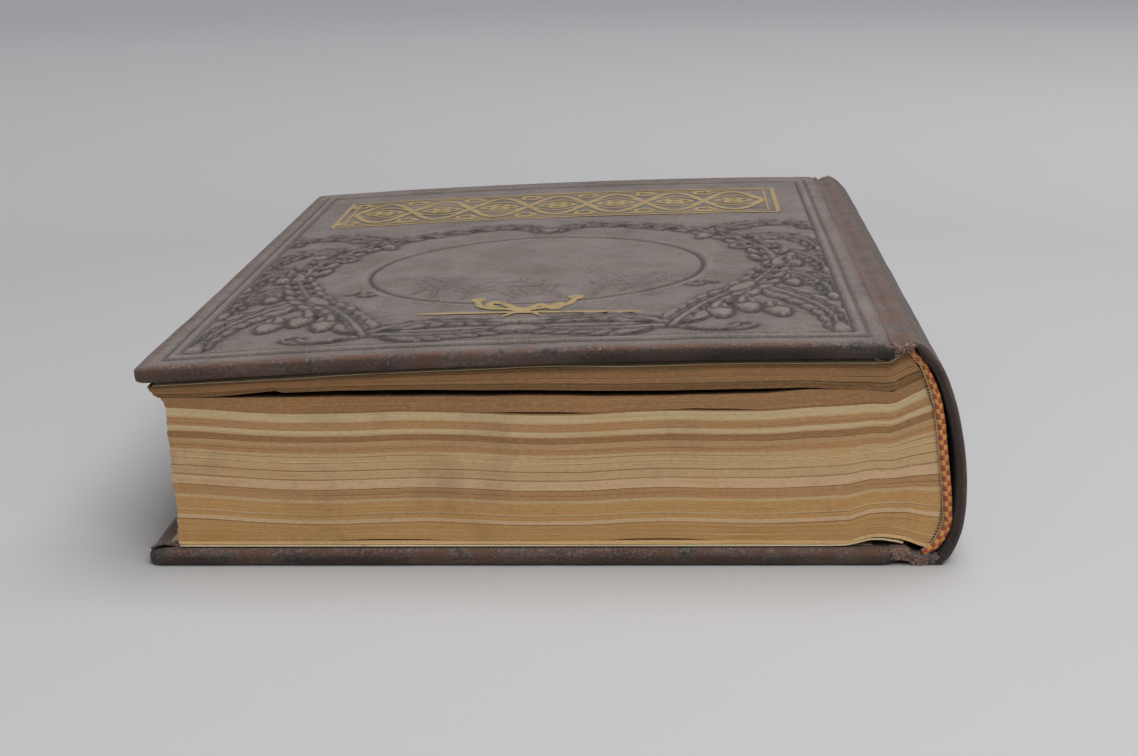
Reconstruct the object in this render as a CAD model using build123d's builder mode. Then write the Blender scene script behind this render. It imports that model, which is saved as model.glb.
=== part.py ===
from build123d import *
from math import asin, atan2, cos, hypot, radians, sin
import os

os.makedirs("parts", exist_ok=True)

# Antique hardback in a case binding, lying closed on its back cover. Millimetres.
# X runs from the fore-edge (-X) to the spine (+X), Y from tail (-Y) to head (+Y), Z up.
# The origin is on the resting surface, under the middle of the closed book.

# Overall sizes
board_width = 176.0  # fore-edge to joint, covering included
board_height = 250.0  # tail to head, covering included
book_thickness = 53.7  # at the spine crest
fore_edge_thickness = 48.7  # the front board sits lower at the fore-edge
front_bow = 1.45  # rise of the warped front board over its chord
corner_radius = 3.0  # worn corners of both boards

# Boards, covering and endpapers
covering = 0.7
board_core = 2.8
turn_in = 0.3  # covering pared thin and folded inside
turn_in_margin = 14.0
endpaper = 0.2
endpaper_margin = 4.0  # turn-in left showing round the pastedown

# Joints
front_joint_width = 4.0  # board edge to spine crest
front_joint_thickness = 1.1  # covering and the cloth under it
back_joint_thickness = 0.8
joint_gap = 0.4  # at the front board's edge
back_joint_gap = 0.8  # wider: the back board swings about a deeper line
groove_depth = 0.35

# Spine, as five tangent arcs from crest to foot: the middle one takes up the height
upper_radii = (4.6, 19.3)
lower_radii = (20.6, 4.3)
spine_turns = (40.0, 29.0, 27.0, 26.0, 58.0)
spine_leather_thickness = 0.8
inlay_thickness = 1.4
inlay_edge_angle = 48.0  # the stiff inlay stops short of the crest
cap_turn_in = 0.55
cap_height = 14.0
hollow_gap = 0.55
headband_thickness = 1.8
headband_bead = 2.3
headband_overhang = 1.1  # past the ends of the pages
headband_skirt = 0.4
headband_height = 12.0
bead_round = 0.5
lining_thickness = 0.5

# Text block
square = 2.5  # pages set back from head and tail
fore_edge_square = 6.7
fore_edge_lean = 0.5
upper_leaf_overhang = 4.0  # top leaves have slid towards the fore-edge
flare_height = 7.0
block_clearance = 0.3
crest_drop = 2.2
shoulder_bulge = 1.4
slit_drop = 10.8  # loose top gathering, below the crest
slit_height = 1.7
slit_end_inset = 7.8
lift_width = 6.5  # torn endpaper leaves the lowest leaves lifted beside the joint
lift_height = 1.7
lower_shoulder = 3.0

# Layers of a cover, measured in from its outer face
core_top = covering
core_bottom = core_top + board_core
lining_face = core_bottom + turn_in
cover_thickness = lining_face + endpaper
flyleaf_face = cover_thickness + block_clearance
block_face = flyleaf_face + endpaper

# Layers of the spine, measured in from its outer face
inlay_outer = spine_leather_thickness
inlay_inner = inlay_outer + inlay_thickness
cap_inner = inlay_inner + cap_turn_in
headband_outer = cap_inner + hollow_gap
headband_inner = headband_outer + headband_thickness
lining_inner = headband_inner + lining_thickness

# Directions of the spine's outer face where one arc gives way to the next
spine_angles = [sum(spine_turns[:count]) for count in range(len(spine_turns) + 1)]


def arc_drop(index):
    """Height covered by one spine arc of unit radius."""
    return cos(radians(spine_angles[index])) - cos(radians(spine_angles[index + 1]))


outer_drops = upper_radii[0] * arc_drop(0) + upper_radii[1] * arc_drop(1)
inner_drops = lower_radii[0] * arc_drop(3) + lower_radii[1] * arc_drop(4)
middle_radius = (book_thickness - outer_drops - inner_drops) / arc_drop(2)
spine_radii = (*upper_radii, middle_radius, *lower_radii)

# The spine's swell past its crest, where the middle arc stands upright
crest_to_middle = sin(radians(spine_angles[2]))
spine_swell = (
    spine_radii[0] * sin(radians(spine_angles[1]))
    + spine_radii[1] * (crest_to_middle - sin(radians(spine_angles[1])))
    + spine_radii[2] * (1 - crest_to_middle)
)

overall_width = board_width + front_joint_width + spine_swell
fore_edge_x = -overall_width / 2
joint_x = fore_edge_x + board_width
crest_x = joint_x + front_joint_width
head_y = board_height / 2
page_end_y = head_y - square

spine_centres = [(crest_x, book_thickness - spine_radii[0])]
for index in range(1, len(spine_radii)):
    step = spine_radii[index - 1] - spine_radii[index]
    turn = radians(spine_angles[index])
    last_x, last_z = spine_centres[-1]
    spine_centres.append((last_x + step * sin(turn), last_z + step * cos(turn)))


def spine_point(angle, depth):
    """Point of the spine section whose outward direction is `angle` from straight up."""
    index = max(i for i in range(len(spine_radii)) if spine_angles[i] <= angle or i == 0)
    centre_x, centre_z = spine_centres[index]
    reach = spine_radii[index] - depth
    return (centre_x + reach * sin(radians(angle)), centre_z + reach * cos(radians(angle)))


def spine_arcs(first, last, depth):
    """Tangent arcs along the spine section at one depth, from `first` to `last` degrees."""
    stops = [first, *(a for a in spine_angles if first < a < last), last]
    arcs = []
    for start, end in zip(stops, stops[1:]):
        index = max(i for i in range(len(spine_radii)) if spine_angles[i] <= start)
        centre_x, centre_z = spine_centres[index]
        reach = spine_radii[index] - depth
        points = []
        for angle in (start, (start + end) / 2, end):
            points.append((centre_x + reach * sin(radians(angle)), centre_z + reach * cos(radians(angle))))
        arcs.append(ThreePointArc(*points))
    return arcs


def spine_layer(first, last, outer, inner):
    """Closed outline of one layer of the spine section."""
    outside = spine_arcs(first, last, outer)
    inside = spine_arcs(first, last, inner)
    top = Line(outside[0] @ 0, inside[0] @ 0)
    foot = Line(outside[-1] @ 1, inside[-1] @ 1)
    return [*outside, *inside, top, foot]


# The front board is warped: its section follows arcs about one centre
chord_rise = book_thickness - fore_edge_thickness
chord = hypot(board_width, chord_rise)
chord_tilt = atan2(chord_rise, board_width)
bow_radius = (chord**2 / 4 + front_bow**2) / (2 * front_bow)
half_bow = asin(chord / 2 / bow_radius)
front_run = 2 * half_bow * bow_radius
below_chord = bow_radius - front_bow
bow_centre_x = fore_edge_x + board_width / 2 + below_chord * sin(chord_tilt)
bow_centre_z = fore_edge_thickness + chord_rise / 2 - below_chord * cos(chord_tilt)


def front_point(run, depth):
    """Point `run` along the front cover's section from the fore-edge, `depth` under its face."""
    angle = run / bow_radius - half_bow - chord_tilt
    reach = bow_radius - depth
    return (bow_centre_x + reach * sin(angle), bow_centre_z + reach * cos(angle))


def bowed_arc(start, end, depth):
    """Arc along the front cover's section at one depth."""
    middle = (start + end) / 2
    return ThreePointArc(front_point(start, depth), front_point(middle, depth), front_point(end, depth))


def bowed_layer(start, end, top, bottom):
    """Closed outline of one layer of the front cover's section."""
    upper = bowed_arc(start, end, top)
    lower = bowed_arc(start, end, bottom)
    return [upper, Line(upper @ 1, lower @ 1), lower, Line(lower @ 0, upper @ 0)]


# ---------------------------------------------------------------- front cover

front_wrap_outline = bowed_layer(0, front_run, 0, lining_face)
front_core_outline = bowed_layer(covering, front_run, core_top, core_bottom)
front_window_outline = bowed_layer(turn_in_margin, front_run, core_bottom, lining_face)
front_paste_outline = bowed_layer(endpaper_margin, front_run - endpaper_margin, lining_face, cover_thickness)
window_half = head_y - turn_in_margin

with BuildPart() as front_board:
    with BuildSketch(Plane.XZ):
        make_face(front_core_outline)
    extrude(amount=head_y - covering, both=True)
    fore_corners = front_board.edges().filter_by(Axis.Y, reverse=True).sort_by(Axis.X)[:2]
    fillet(fore_corners, corner_radius - covering)
    # Filler card that brings the inside level with the turn-ins
    with BuildSketch(Plane.XZ):
        make_face(front_window_outline)
    extrude(amount=window_half, both=True)
front_board.part.label = "front_board"
export_step(front_board.part, "parts/front_board.step")

with BuildPart() as front_cover_leather:
    with BuildSketch(Plane.XZ):
        make_face(front_wrap_outline)
    extrude(amount=head_y, both=True)
    fore_corners = front_cover_leather.edges().filter_by(Axis.Y, reverse=True).sort_by(Axis.X)[:2]
    fillet(fore_corners, corner_radius)
    add(front_board.part, mode=Mode.SUBTRACT)
front_cover_leather.part.label = "front_cover_leather"
export_step(front_cover_leather.part, "parts/front_cover_leather.step")

with BuildPart() as front_pastedown:
    with BuildSketch(Plane.XZ):
        make_face(front_paste_outline)
    extrude(amount=head_y - endpaper_margin, both=True)
front_pastedown.part.label = "front_pastedown"
export_step(front_pastedown.part, "parts/front_pastedown.step")

# ----------------------------------------------------------------- back cover

back_middle_x = fore_edge_x + board_width / 2
core_middle_x = back_middle_x + covering / 2
window_middle_x = back_middle_x + turn_in_margin / 2

with BuildPart() as back_board:
    with BuildSketch(Plane.XY.offset(core_top)) as back_core:
        with Locations((core_middle_x, 0)):
            Rectangle(board_width - covering, board_height - 2 * covering)
        fillet(back_core.vertices().group_by(Axis.X)[0], corner_radius - covering)
    extrude(amount=board_core)
    # Filler card that brings the inside level with the turn-ins
    with BuildSketch(Plane.XY.offset(core_bottom)):
        with Locations((window_middle_x, 0)):
            Rectangle(board_width - turn_in_margin, 2 * window_half)
    extrude(amount=turn_in)
back_board.part.label = "back_board"
export_step(back_board.part, "parts/back_board.step")

with BuildPart() as back_cover_leather:
    with BuildSketch(Plane.XY) as back_wrap:
        with Locations((back_middle_x, 0)):
            Rectangle(board_width, board_height)
        fillet(back_wrap.vertices().group_by(Axis.X)[0], corner_radius)
    extrude(amount=lining_face)
    add(back_board.part, mode=Mode.SUBTRACT)
back_cover_leather.part.label = "back_cover_leather"
export_step(back_cover_leather.part, "parts/back_cover_leather.step")

with BuildPart() as back_pastedown:
    with BuildSketch(Plane.XY.offset(lining_face)):
        with Locations((back_middle_x, 0)):
            Rectangle(board_width - 2 * endpaper_margin, board_height - 2 * endpaper_margin)
    extrude(amount=endpaper)
back_pastedown.part.label = "back_pastedown"
export_step(back_pastedown.part, "parts/back_pastedown.step")

# ----------------------------------------------------------------- text block

page_fore_x = fore_edge_x + fore_edge_square
page_top_run = fore_edge_square - upper_leaf_overhang
page_top_end = front_run + joint_gap
page_crest = (crest_x, book_thickness - crest_drop)
backing_start = spine_point(spine_angles[2], lining_inner)
backing_end = spine_point(spine_angles[4], lining_inner)
shoulder_middle = (
    (page_crest[0] + backing_start[0]) / 2 + shoulder_bulge,
    (page_crest[1] + backing_start[1]) / 2 + shoulder_bulge / 2,
)
top_left = front_point(page_top_run, block_face)
flare_foot = (page_fore_x - fore_edge_lean, top_left[1] - flare_height)
flare_middle = ((2 * flare_foot[0] + top_left[0]) / 3 - fore_edge_lean, top_left[1] - flare_height / 2)
lift_right_x = joint_x + covering
lift_left_x = lift_right_x - lift_width
lift_z = block_face + lift_height
foot_x = backing_end[0] - lower_shoulder
foot_z = backing_end[1] - lower_shoulder / 2
backing_arcs = spine_arcs(spine_angles[2], spine_angles[4], lining_inner)

slit_tip = (joint_x - slit_end_inset, book_thickness - slit_drop)
slit_mouth_z = slit_tip[1] - 1.8 * slit_height
slit_mouth_x = fore_edge_x
slit_middle_x = (slit_tip[0] + slit_mouth_x) / 2
slit_roof_z = slit_tip[1] + slit_height / 4

with BuildPart() as text_block:
    with BuildSketch(Plane.XZ):
        with BuildLine():
            head_arc = bowed_arc(page_top_run, page_top_end, block_face)
            add(head_arc)
            Line(head_arc @ 1, page_crest)
            ThreePointArc(page_crest, shoulder_middle, backing_start)
            add(backing_arcs)
            Polyline(
                backing_end,
                (foot_x, foot_z),
                (lift_right_x, lift_z),
                (lift_left_x, lift_z),
                (lift_left_x - lift_height, block_face),
                (page_fore_x, block_face),
                flare_foot,
            )
            ThreePointArc(flare_foot, flare_middle, top_left)
        make_face()
        # Slit under the loose top gathering
        with BuildLine():
            ThreePointArc(slit_tip, (slit_middle_x, slit_roof_z), (slit_mouth_x, slit_mouth_z + slit_height))
            Line((slit_mouth_x, slit_mouth_z + slit_height), (slit_mouth_x, slit_mouth_z))
            ThreePointArc((slit_mouth_x, slit_mouth_z), (slit_middle_x, slit_roof_z - slit_height), slit_tip)
        make_face(mode=Mode.SUBTRACT)
    extrude(amount=page_end_y, both=True)
text_block.part.label = "text_block"
export_step(text_block.part, "parts/text_block.step")

flyleaf_upper = bowed_arc(page_top_run, page_top_end, flyleaf_face)
flyleaf_lower = bowed_arc(page_top_run, page_top_end, block_face)

with BuildPart() as front_flyleaf:
    with BuildSketch(Plane.XZ):
        with BuildLine():
            add(flyleaf_upper)
            add(flyleaf_lower)
            Line(flyleaf_upper @ 0, flyleaf_lower @ 0)
            Polyline(
                flyleaf_upper @ 1,
                (page_crest[0], page_crest[1] + endpaper),
                page_crest,
                flyleaf_lower @ 1,
            )
        make_face()
    extrude(amount=page_end_y, both=True)
front_flyleaf.part.label = "front_flyleaf"
export_step(front_flyleaf.part, "parts/front_flyleaf.step")

# Torn off short of the joint
back_flyleaf_end = lift_left_x - lift_height
with BuildPart() as back_flyleaf:
    with BuildSketch(Plane.XY.offset(flyleaf_face)):
        with Locations(((page_fore_x + back_flyleaf_end) / 2, 0)):
            Rectangle(back_flyleaf_end - page_fore_x, 2 * page_end_y)
    extrude(amount=endpaper)
back_flyleaf.part.label = "back_flyleaf"
export_step(back_flyleaf.part, "parts/back_flyleaf.step")

# ------------------------------------------------------- spine and its linings

lining_outline = spine_layer(spine_angles[2], spine_angles[4], headband_inner, lining_inner)
headband_outline = spine_layer(spine_angles[2], spine_angles[4], headband_outer, headband_inner)
skirt_outer = headband_inner - headband_skirt
skirt_outline = spine_layer(spine_angles[2], spine_angles[4], skirt_outer, headband_inner)
inlay_last = (spine_angles[4] + spine_angles[5]) / 2
inlay_outline = spine_layer(inlay_edge_angle, inlay_last, inlay_outer, inlay_inner)
cap_outline = spine_layer(inlay_edge_angle, inlay_last, inlay_outer, cap_inner)
spine_outline = spine_layer(0, 180, 0, spine_leather_thickness)
inlay_half = head_y - spine_leather_thickness

with BuildPart() as spine_lining:
    with BuildSketch(Plane.XZ):
        make_face(lining_outline)
    extrude(amount=page_end_y, both=True)
spine_lining.part.label = "spine_lining"
export_step(spine_lining.part, "parts/spine_lining.step")

bead_end_y = page_end_y + headband_overhang
bead_start_y = bead_end_y - headband_bead
skirt_start_y = bead_end_y - headband_height

with BuildPart() as headband_head:
    with BuildSketch(Plane.XZ.offset(-bead_end_y)):
        make_face(headband_outline)
    extrude(amount=headband_bead)
    bead_rims = headband_head.edges().filter_by(GeomType.CIRCLE).filter_by_position(
        Axis.Y, bead_end_y - bead_round, bead_end_y + bead_round
    )
    fillet(bead_rims, bead_round)
    with BuildSketch(Plane.XZ.offset(-bead_start_y)):
        make_face(skirt_outline)
    extrude(amount=bead_start_y - skirt_start_y)
headband_head.part.label = "headband_head"
export_step(headband_head.part, "parts/headband_head.step")

with BuildPart() as headband_tail:
    add(headband_head.part)
    mirror(about=Plane.XZ, mode=Mode.REPLACE)
headband_tail.part.label = "headband_tail"
export_step(headband_tail.part, "parts/headband_tail.step")

with BuildPart() as spine_inlay:
    with BuildSketch(Plane.XZ):
        make_face(inlay_outline)
    extrude(amount=inlay_half, both=True)
spine_inlay.part.label = "spine_inlay"
export_step(spine_inlay.part, "parts/spine_inlay.step")

with BuildPart() as spine_leather:
    with BuildSketch(Plane.XZ):
        make_face(spine_outline)
    extrude(amount=head_y, both=True)
    # Caps: the leather folds over the inlay's ends and down its inside
    for end in (-head_y, head_y - cap_height):
        with BuildSketch(Plane.XZ.offset(-end)):
            make_face(cap_outline)
        extrude(amount=-cap_height)
    add(spine_inlay.part, mode=Mode.SUBTRACT)
spine_leather.part.label = "spine_leather"
export_step(spine_leather.part, "parts/spine_leather.step")

# ---------------------------------------------------------------- joint strips

strip_start_x = joint_x + joint_gap
strip_floor_z = book_thickness - front_joint_thickness
groove_x = (strip_start_x + crest_x) / 2

with BuildPart() as front_joint_leather:
    with BuildSketch(Plane.XZ):
        with BuildLine():
            ThreePointArc(
                (strip_start_x, book_thickness), (groove_x, book_thickness - groove_depth), (crest_x, book_thickness)
            )
            Polyline(
                (crest_x, book_thickness),
                (crest_x, strip_floor_z),
                (strip_start_x, strip_floor_z),
                (strip_start_x, book_thickness),
            )
        make_face()
    extrude(amount=head_y, both=True)
front_joint_leather.part.label = "front_joint_leather"
export_step(front_joint_leather.part, "parts/front_joint_leather.step")

back_strip_start_x = joint_x + back_joint_gap
spine_foot_x = spine_point(180, 0)[0]

with BuildPart() as back_joint_leather:
    with BuildSketch(Plane.XY):
        with Locations(((back_strip_start_x + spine_foot_x) / 2, 0)):
            Rectangle(spine_foot_x - back_strip_start_x, board_height)
    extrude(amount=back_joint_thickness)
back_joint_leather.part.label = "back_joint_leather"
export_step(back_joint_leather.part, "parts/back_joint_leather.step")
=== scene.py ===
from math import asin, atan2, cos, hypot, pi, radians, sin

import bpy
import numpy as np
from mathutils import Matrix, Vector


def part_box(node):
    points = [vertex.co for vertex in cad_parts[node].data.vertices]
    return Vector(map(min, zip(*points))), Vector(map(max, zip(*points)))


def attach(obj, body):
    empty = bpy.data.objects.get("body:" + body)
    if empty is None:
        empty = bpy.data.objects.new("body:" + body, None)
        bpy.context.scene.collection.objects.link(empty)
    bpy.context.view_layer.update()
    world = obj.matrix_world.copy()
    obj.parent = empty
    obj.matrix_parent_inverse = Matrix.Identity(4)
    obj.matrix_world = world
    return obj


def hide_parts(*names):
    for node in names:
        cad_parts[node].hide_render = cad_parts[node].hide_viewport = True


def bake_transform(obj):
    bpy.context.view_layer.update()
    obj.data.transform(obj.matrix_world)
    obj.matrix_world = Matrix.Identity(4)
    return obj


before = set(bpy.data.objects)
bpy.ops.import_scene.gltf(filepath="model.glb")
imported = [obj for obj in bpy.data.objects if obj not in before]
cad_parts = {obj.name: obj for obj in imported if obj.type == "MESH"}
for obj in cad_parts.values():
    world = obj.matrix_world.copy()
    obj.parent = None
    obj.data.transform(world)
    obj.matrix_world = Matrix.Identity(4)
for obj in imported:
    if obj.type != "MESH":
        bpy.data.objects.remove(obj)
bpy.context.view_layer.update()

# Antique hardback lying closed on its back cover. Lengths are in millimetres until a mesh is
# made, in the frame's axes: X from fore-edge to spine, Y from tail to head, Z up.
MM = 0.001


def corners(node):
    """Lowest and highest corner of a CAD node, in millimetres."""
    low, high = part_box(node)
    return np.array(low) / MM, np.array(high) / MM


cover_low, cover_high = corners("back_cover_leather")
spine_high = corners("spine_leather")[1]
block_high = corners("text_block")[1]
strip_high = corners("front_joint_leather")[1]

FORE_X, JOINT_X = cover_low[0], cover_high[0]
CREST_X = strip_high[0]
HEAD_Y = cover_high[1]
PAGE_Y = block_high[1]
THICKNESS = spine_high[2]
BOARD_WIDTH = JOINT_X - FORE_X
COVER_DEPTH = cover_high[2]
PASTE = 0.2  # thickness of an endpaper
BLOCK_CLEARANCE = 0.3
FORE_EDGE_THICKNESS = 48.7  # the front board sits lower at the fore-edge
FRONT_BOW = 1.45  # rise of the warped front board over its chord
CORNER = 3.0  # worn corners of both boards
TURN_IN = 14.0  # covering folded over a board's inside and down the spine's caps
FLYLEAF_FACE = COVER_DEPTH + PASTE + BLOCK_CLEARANCE
BLOCK_FACE = FLYLEAF_FACE + PASTE
SPINE_CLOTH = 2.75  # covering, inlay and turn-in where they show at the caps
FLOOR_CLEARANCE = 0.02  # no covering dips to the resting surface


# ---- book section

SPINE_TURNS = (40.0, 29.0, 27.0, 26.0, 58.0)  # degrees of each arc, crest to foot
SPINE_ANGLES = [sum(SPINE_TURNS[:count]) for count in range(6)]


def spine_section():
    """Centres and radii of the spine's five tangent arcs; the middle one takes up the height."""
    radii = [4.6, 19.3, 0.0, 20.6, 4.3]
    drops = [cos(radians(a)) - cos(radians(b)) for a, b in zip(SPINE_ANGLES, SPINE_ANGLES[1:])]
    radii[2] = (THICKNESS - sum(r * d for r, d in zip(radii, drops))) / drops[2]
    centres = [(CREST_X, THICKNESS - radii[0])]
    for index in range(1, 5):
        step = radii[index - 1] - radii[index]
        turn = radians(SPINE_ANGLES[index])
        last = centres[-1]
        centres.append((last[0] + step * sin(turn), last[1] + step * cos(turn)))
    return centres, radii


SPINE_CENTRES, SPINE_RADII = spine_section()


def spine_point(angle, depth):
    """(x, z) on the spine section facing `angle` degrees from straight up, `depth` inside it."""
    index = sum(angle >= stop for stop in SPINE_ANGLES[1:5])
    centre, reach = SPINE_CENTRES[index], SPINE_RADII[index] - depth
    return centre[0] + reach * sin(radians(angle)), centre[1] + reach * cos(radians(angle))


# Arc of the bowed front board, from its chord between fore-edge and joint
RISE = THICKNESS - FORE_EDGE_THICKNESS
CHORD = hypot(BOARD_WIDTH, RISE)
TILT = atan2(RISE, BOARD_WIDTH)
BOW_RADIUS = (CHORD**2 / 4 + FRONT_BOW**2) / (2 * FRONT_BOW)
HALF_BOW = asin(CHORD / 2 / BOW_RADIUS)
RUN = 2 * HALF_BOW * BOW_RADIUS  # length of the arc
BOW_X = (FORE_X + JOINT_X) / 2 + (BOW_RADIUS - FRONT_BOW) * sin(TILT)
BOW_Z = FORE_EDGE_THICKNESS + RISE / 2 - (BOW_RADIUS - FRONT_BOW) * cos(TILT)


def points_at(*axes):
    """Points from their coordinates, each a number or an array."""
    return np.stack(np.broadcast_arrays(*axes), -1)


def front_place(run, y, depth):
    """Points of the front cover, `run` from the fore-edge and `depth` below its face."""
    angle = run / BOW_RADIUS - HALF_BOW - TILT
    reach = BOW_RADIUS - depth
    return points_at(BOW_X + reach * np.sin(angle), y, BOW_Z + reach * np.cos(angle))


def back_place(run, y, depth):
    """Points of the back cover, whose face is the underside."""
    return points_at(FORE_X + run, y, depth)


# ---- helpers


NOISE_CELLS = 97  # cells before the random field repeats


def smooth(t):
    """Slow start and slow end between 0 and 1."""
    return t * t * (3 - 2 * t)


def noise(x, y, cell, seed):
    """Smooth random field from -1 to 1 whose features are about `cell` across."""
    table = np.random.default_rng(seed).uniform(-1, 1, (NOISE_CELLS, NOISE_CELLS))
    gx, gy = np.broadcast_arrays(np.asarray(x, float) / cell, np.asarray(y, float) / cell)
    ix, iy = np.floor(gx).astype(int), np.floor(gy).astype(int)
    fx, fy = smooth(gx - ix), smooth(gy - iy)
    left, right = ix % NOISE_CELLS, (ix + 1) % NOISE_CELLS
    near, far = iy % NOISE_CELLS, (iy + 1) % NOISE_CELLS
    low = table[left, near] * (1 - fx) + table[right, near] * fx
    high = table[left, far] * (1 - fx) + table[right, far] * fx
    return low * (1 - fy) + high * fy


def ease(value, low, high):
    """0 below `low`, 1 above `high`, smooth between."""
    return smooth(np.clip((np.asarray(value, float) - low) / (high - low), 0, 1))


def bump(x, middle, width):
    """1 at `middle`, falling to 0 over about `width` on both sides."""
    return np.exp(-(((x - middle) / width) ** 2))


def walked(line):
    """Distance walked along a line at each of its points."""
    return np.concatenate([[0], np.cumsum(np.linalg.norm(np.diff(line, axis=0), axis=1))])


def headings(path):
    """Unit direction of a path at each of its points."""
    ahead = np.gradient(path, axis=0)
    return ahead / (np.linalg.norm(ahead, axis=1, keepdims=True) + 1e-9)


def curve(points, count):
    """Smooth curve through a few points, as `count` points evenly spaced along it."""
    p = np.array(points, float)
    p = np.vstack([2 * p[0] - p[1], p, 2 * p[-1] - p[-2]])
    t = np.linspace(0, 1, 24, endpoint=False)[:, None]
    dense = []
    for a, b, c, d in zip(p, p[1:], p[2:], p[3:]):
        square, cube = 2 * a - 5 * b + 4 * c - d, 3 * b - a - 3 * c + d
        dense.append(0.5 * (2 * b + (c - a) * t + square * t**2 + cube * t**3))
    dense = np.vstack([*dense, p[-2]])
    along = walked(dense)
    stops = np.linspace(0, along[-1], count)
    return points_at(*(np.interp(stops, along, column) for column in dense.T))


def grid_faces(rows, columns, close_columns=False, start=0):
    """Quads between neighbouring points of a rows x columns lattice."""
    index = np.arange(rows * columns).reshape(rows, columns) + start
    if close_columns:
        index = np.hstack([index, index[:, :1]])
    quads = points_at(index[:-1, :-1], index[:-1, 1:], index[1:, 1:], index[1:, :-1])
    return quads.reshape(-1, 4)


def make_mesh(name, points, faces, material, rounded=True):
    """Mesh object from points in millimetres and an array or a list of faces."""
    mesh = bpy.data.meshes.new(name)
    faces = faces.tolist() if isinstance(faces, np.ndarray) else faces
    mesh.from_pydata((np.asarray(points) * MM).tolist(), [], faces)
    mesh.polygons.foreach_set("use_smooth", [rounded] * len(mesh.polygons))
    mesh.materials.append(material)
    mesh.update()
    obj = bpy.data.objects.new(name, mesh)
    bpy.context.collection.objects.link(obj)
    return obj


def paint(obj, name, values):
    """Stores one number per vertex, for the material to read."""
    layer = obj.data.attributes.new(name, "FLOAT", "POINT")
    layer.data.foreach_set("value", np.asarray(values, np.float32).ravel())


def lay_uv(obj, across, along):
    """Surface coordinates in millimetres."""
    where = np.empty(len(obj.data.loops), int)
    obj.data.loops.foreach_get("vertex_index", where)
    layer = obj.data.uv_layers.new(name="UVMap")
    pairs = points_at(np.asarray(across).ravel()[where], np.asarray(along).ravel()[where])
    layer.data.foreach_set("uv", pairs.astype(np.float32).ravel())


THREAD_SKEW = (0.31, 0.87, 0.39)  # a direction that no thread runs along
THREAD_CLEARANCE = 0.12  # no thread dips to the resting surface


def tubes(name, paths, radius, material, sides):
    """Many fine threads as one mesh, thinning to their ends."""
    points, faces = [], []
    for path in paths:
        ahead = headings(path)
        side = np.cross(ahead, THREAD_SKEW)
        side /= np.linalg.norm(side, axis=1, keepdims=True) + 1e-9
        other = np.cross(ahead, side)
        thin = radius * (1 - 0.55 * np.linspace(0, 1, len(path)) ** 2)[:, None, None]
        turn = np.linspace(0, 2 * pi, sides, endpoint=False)[None, :, None]
        ring = side[:, None] * np.cos(turn) + other[:, None] * np.sin(turn)
        faces.append(grid_faces(len(path), sides, True, sum(len(p) for p in points)))
        points.append((path[:, None] + thin * ring).reshape(-1, 3))
    return make_mesh(name, np.vstack(points), np.vstack(faces), material)


def paint_plain(obj, rubbed, painted_shade=0.0):
    """Wear and painted shade of a covering piece with no tooling."""
    count = len(obj.data.vertices)
    paint(obj, "edge", np.broadcast_to(rubbed, count))
    paint(obj, "painted_shade", np.broadcast_to(painted_shade, count))
    paint(obj, "raised", np.zeros(count))


def give_thickness(obj, thickness, **settings):
    """Makes a sheet solid."""
    skin = obj.modifiers.new("thickness", "SOLIDIFY")
    skin.thickness = thickness * MM
    for key, value in settings.items():
        setattr(skin, key, value)


def settle(piece, body, stands_for=None):
    """Gives a piece its body, and hides the CAD node that it stands for."""
    if stands_for:
        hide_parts(stands_for)
    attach(piece, body)


def span_joint(piece, start_x, end_x, height):
    """Bakes into its mesh the placement of a piece that spans a joint, from its cover to the block."""
    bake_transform(piece)


# ---- materials


def srgb(red, green, blue):
    """Linear colour with alpha from 0-255 display values."""
    channel = [c / 255 for c in (red, green, blue)]
    return (*(c / 12.92 if c <= 0.04045 else ((c + 0.055) / 1.055) ** 2.4 for c in channel), 1.0)


WEAVE_PITCH = 0.62  # millimetres between threads of the covering


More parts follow.
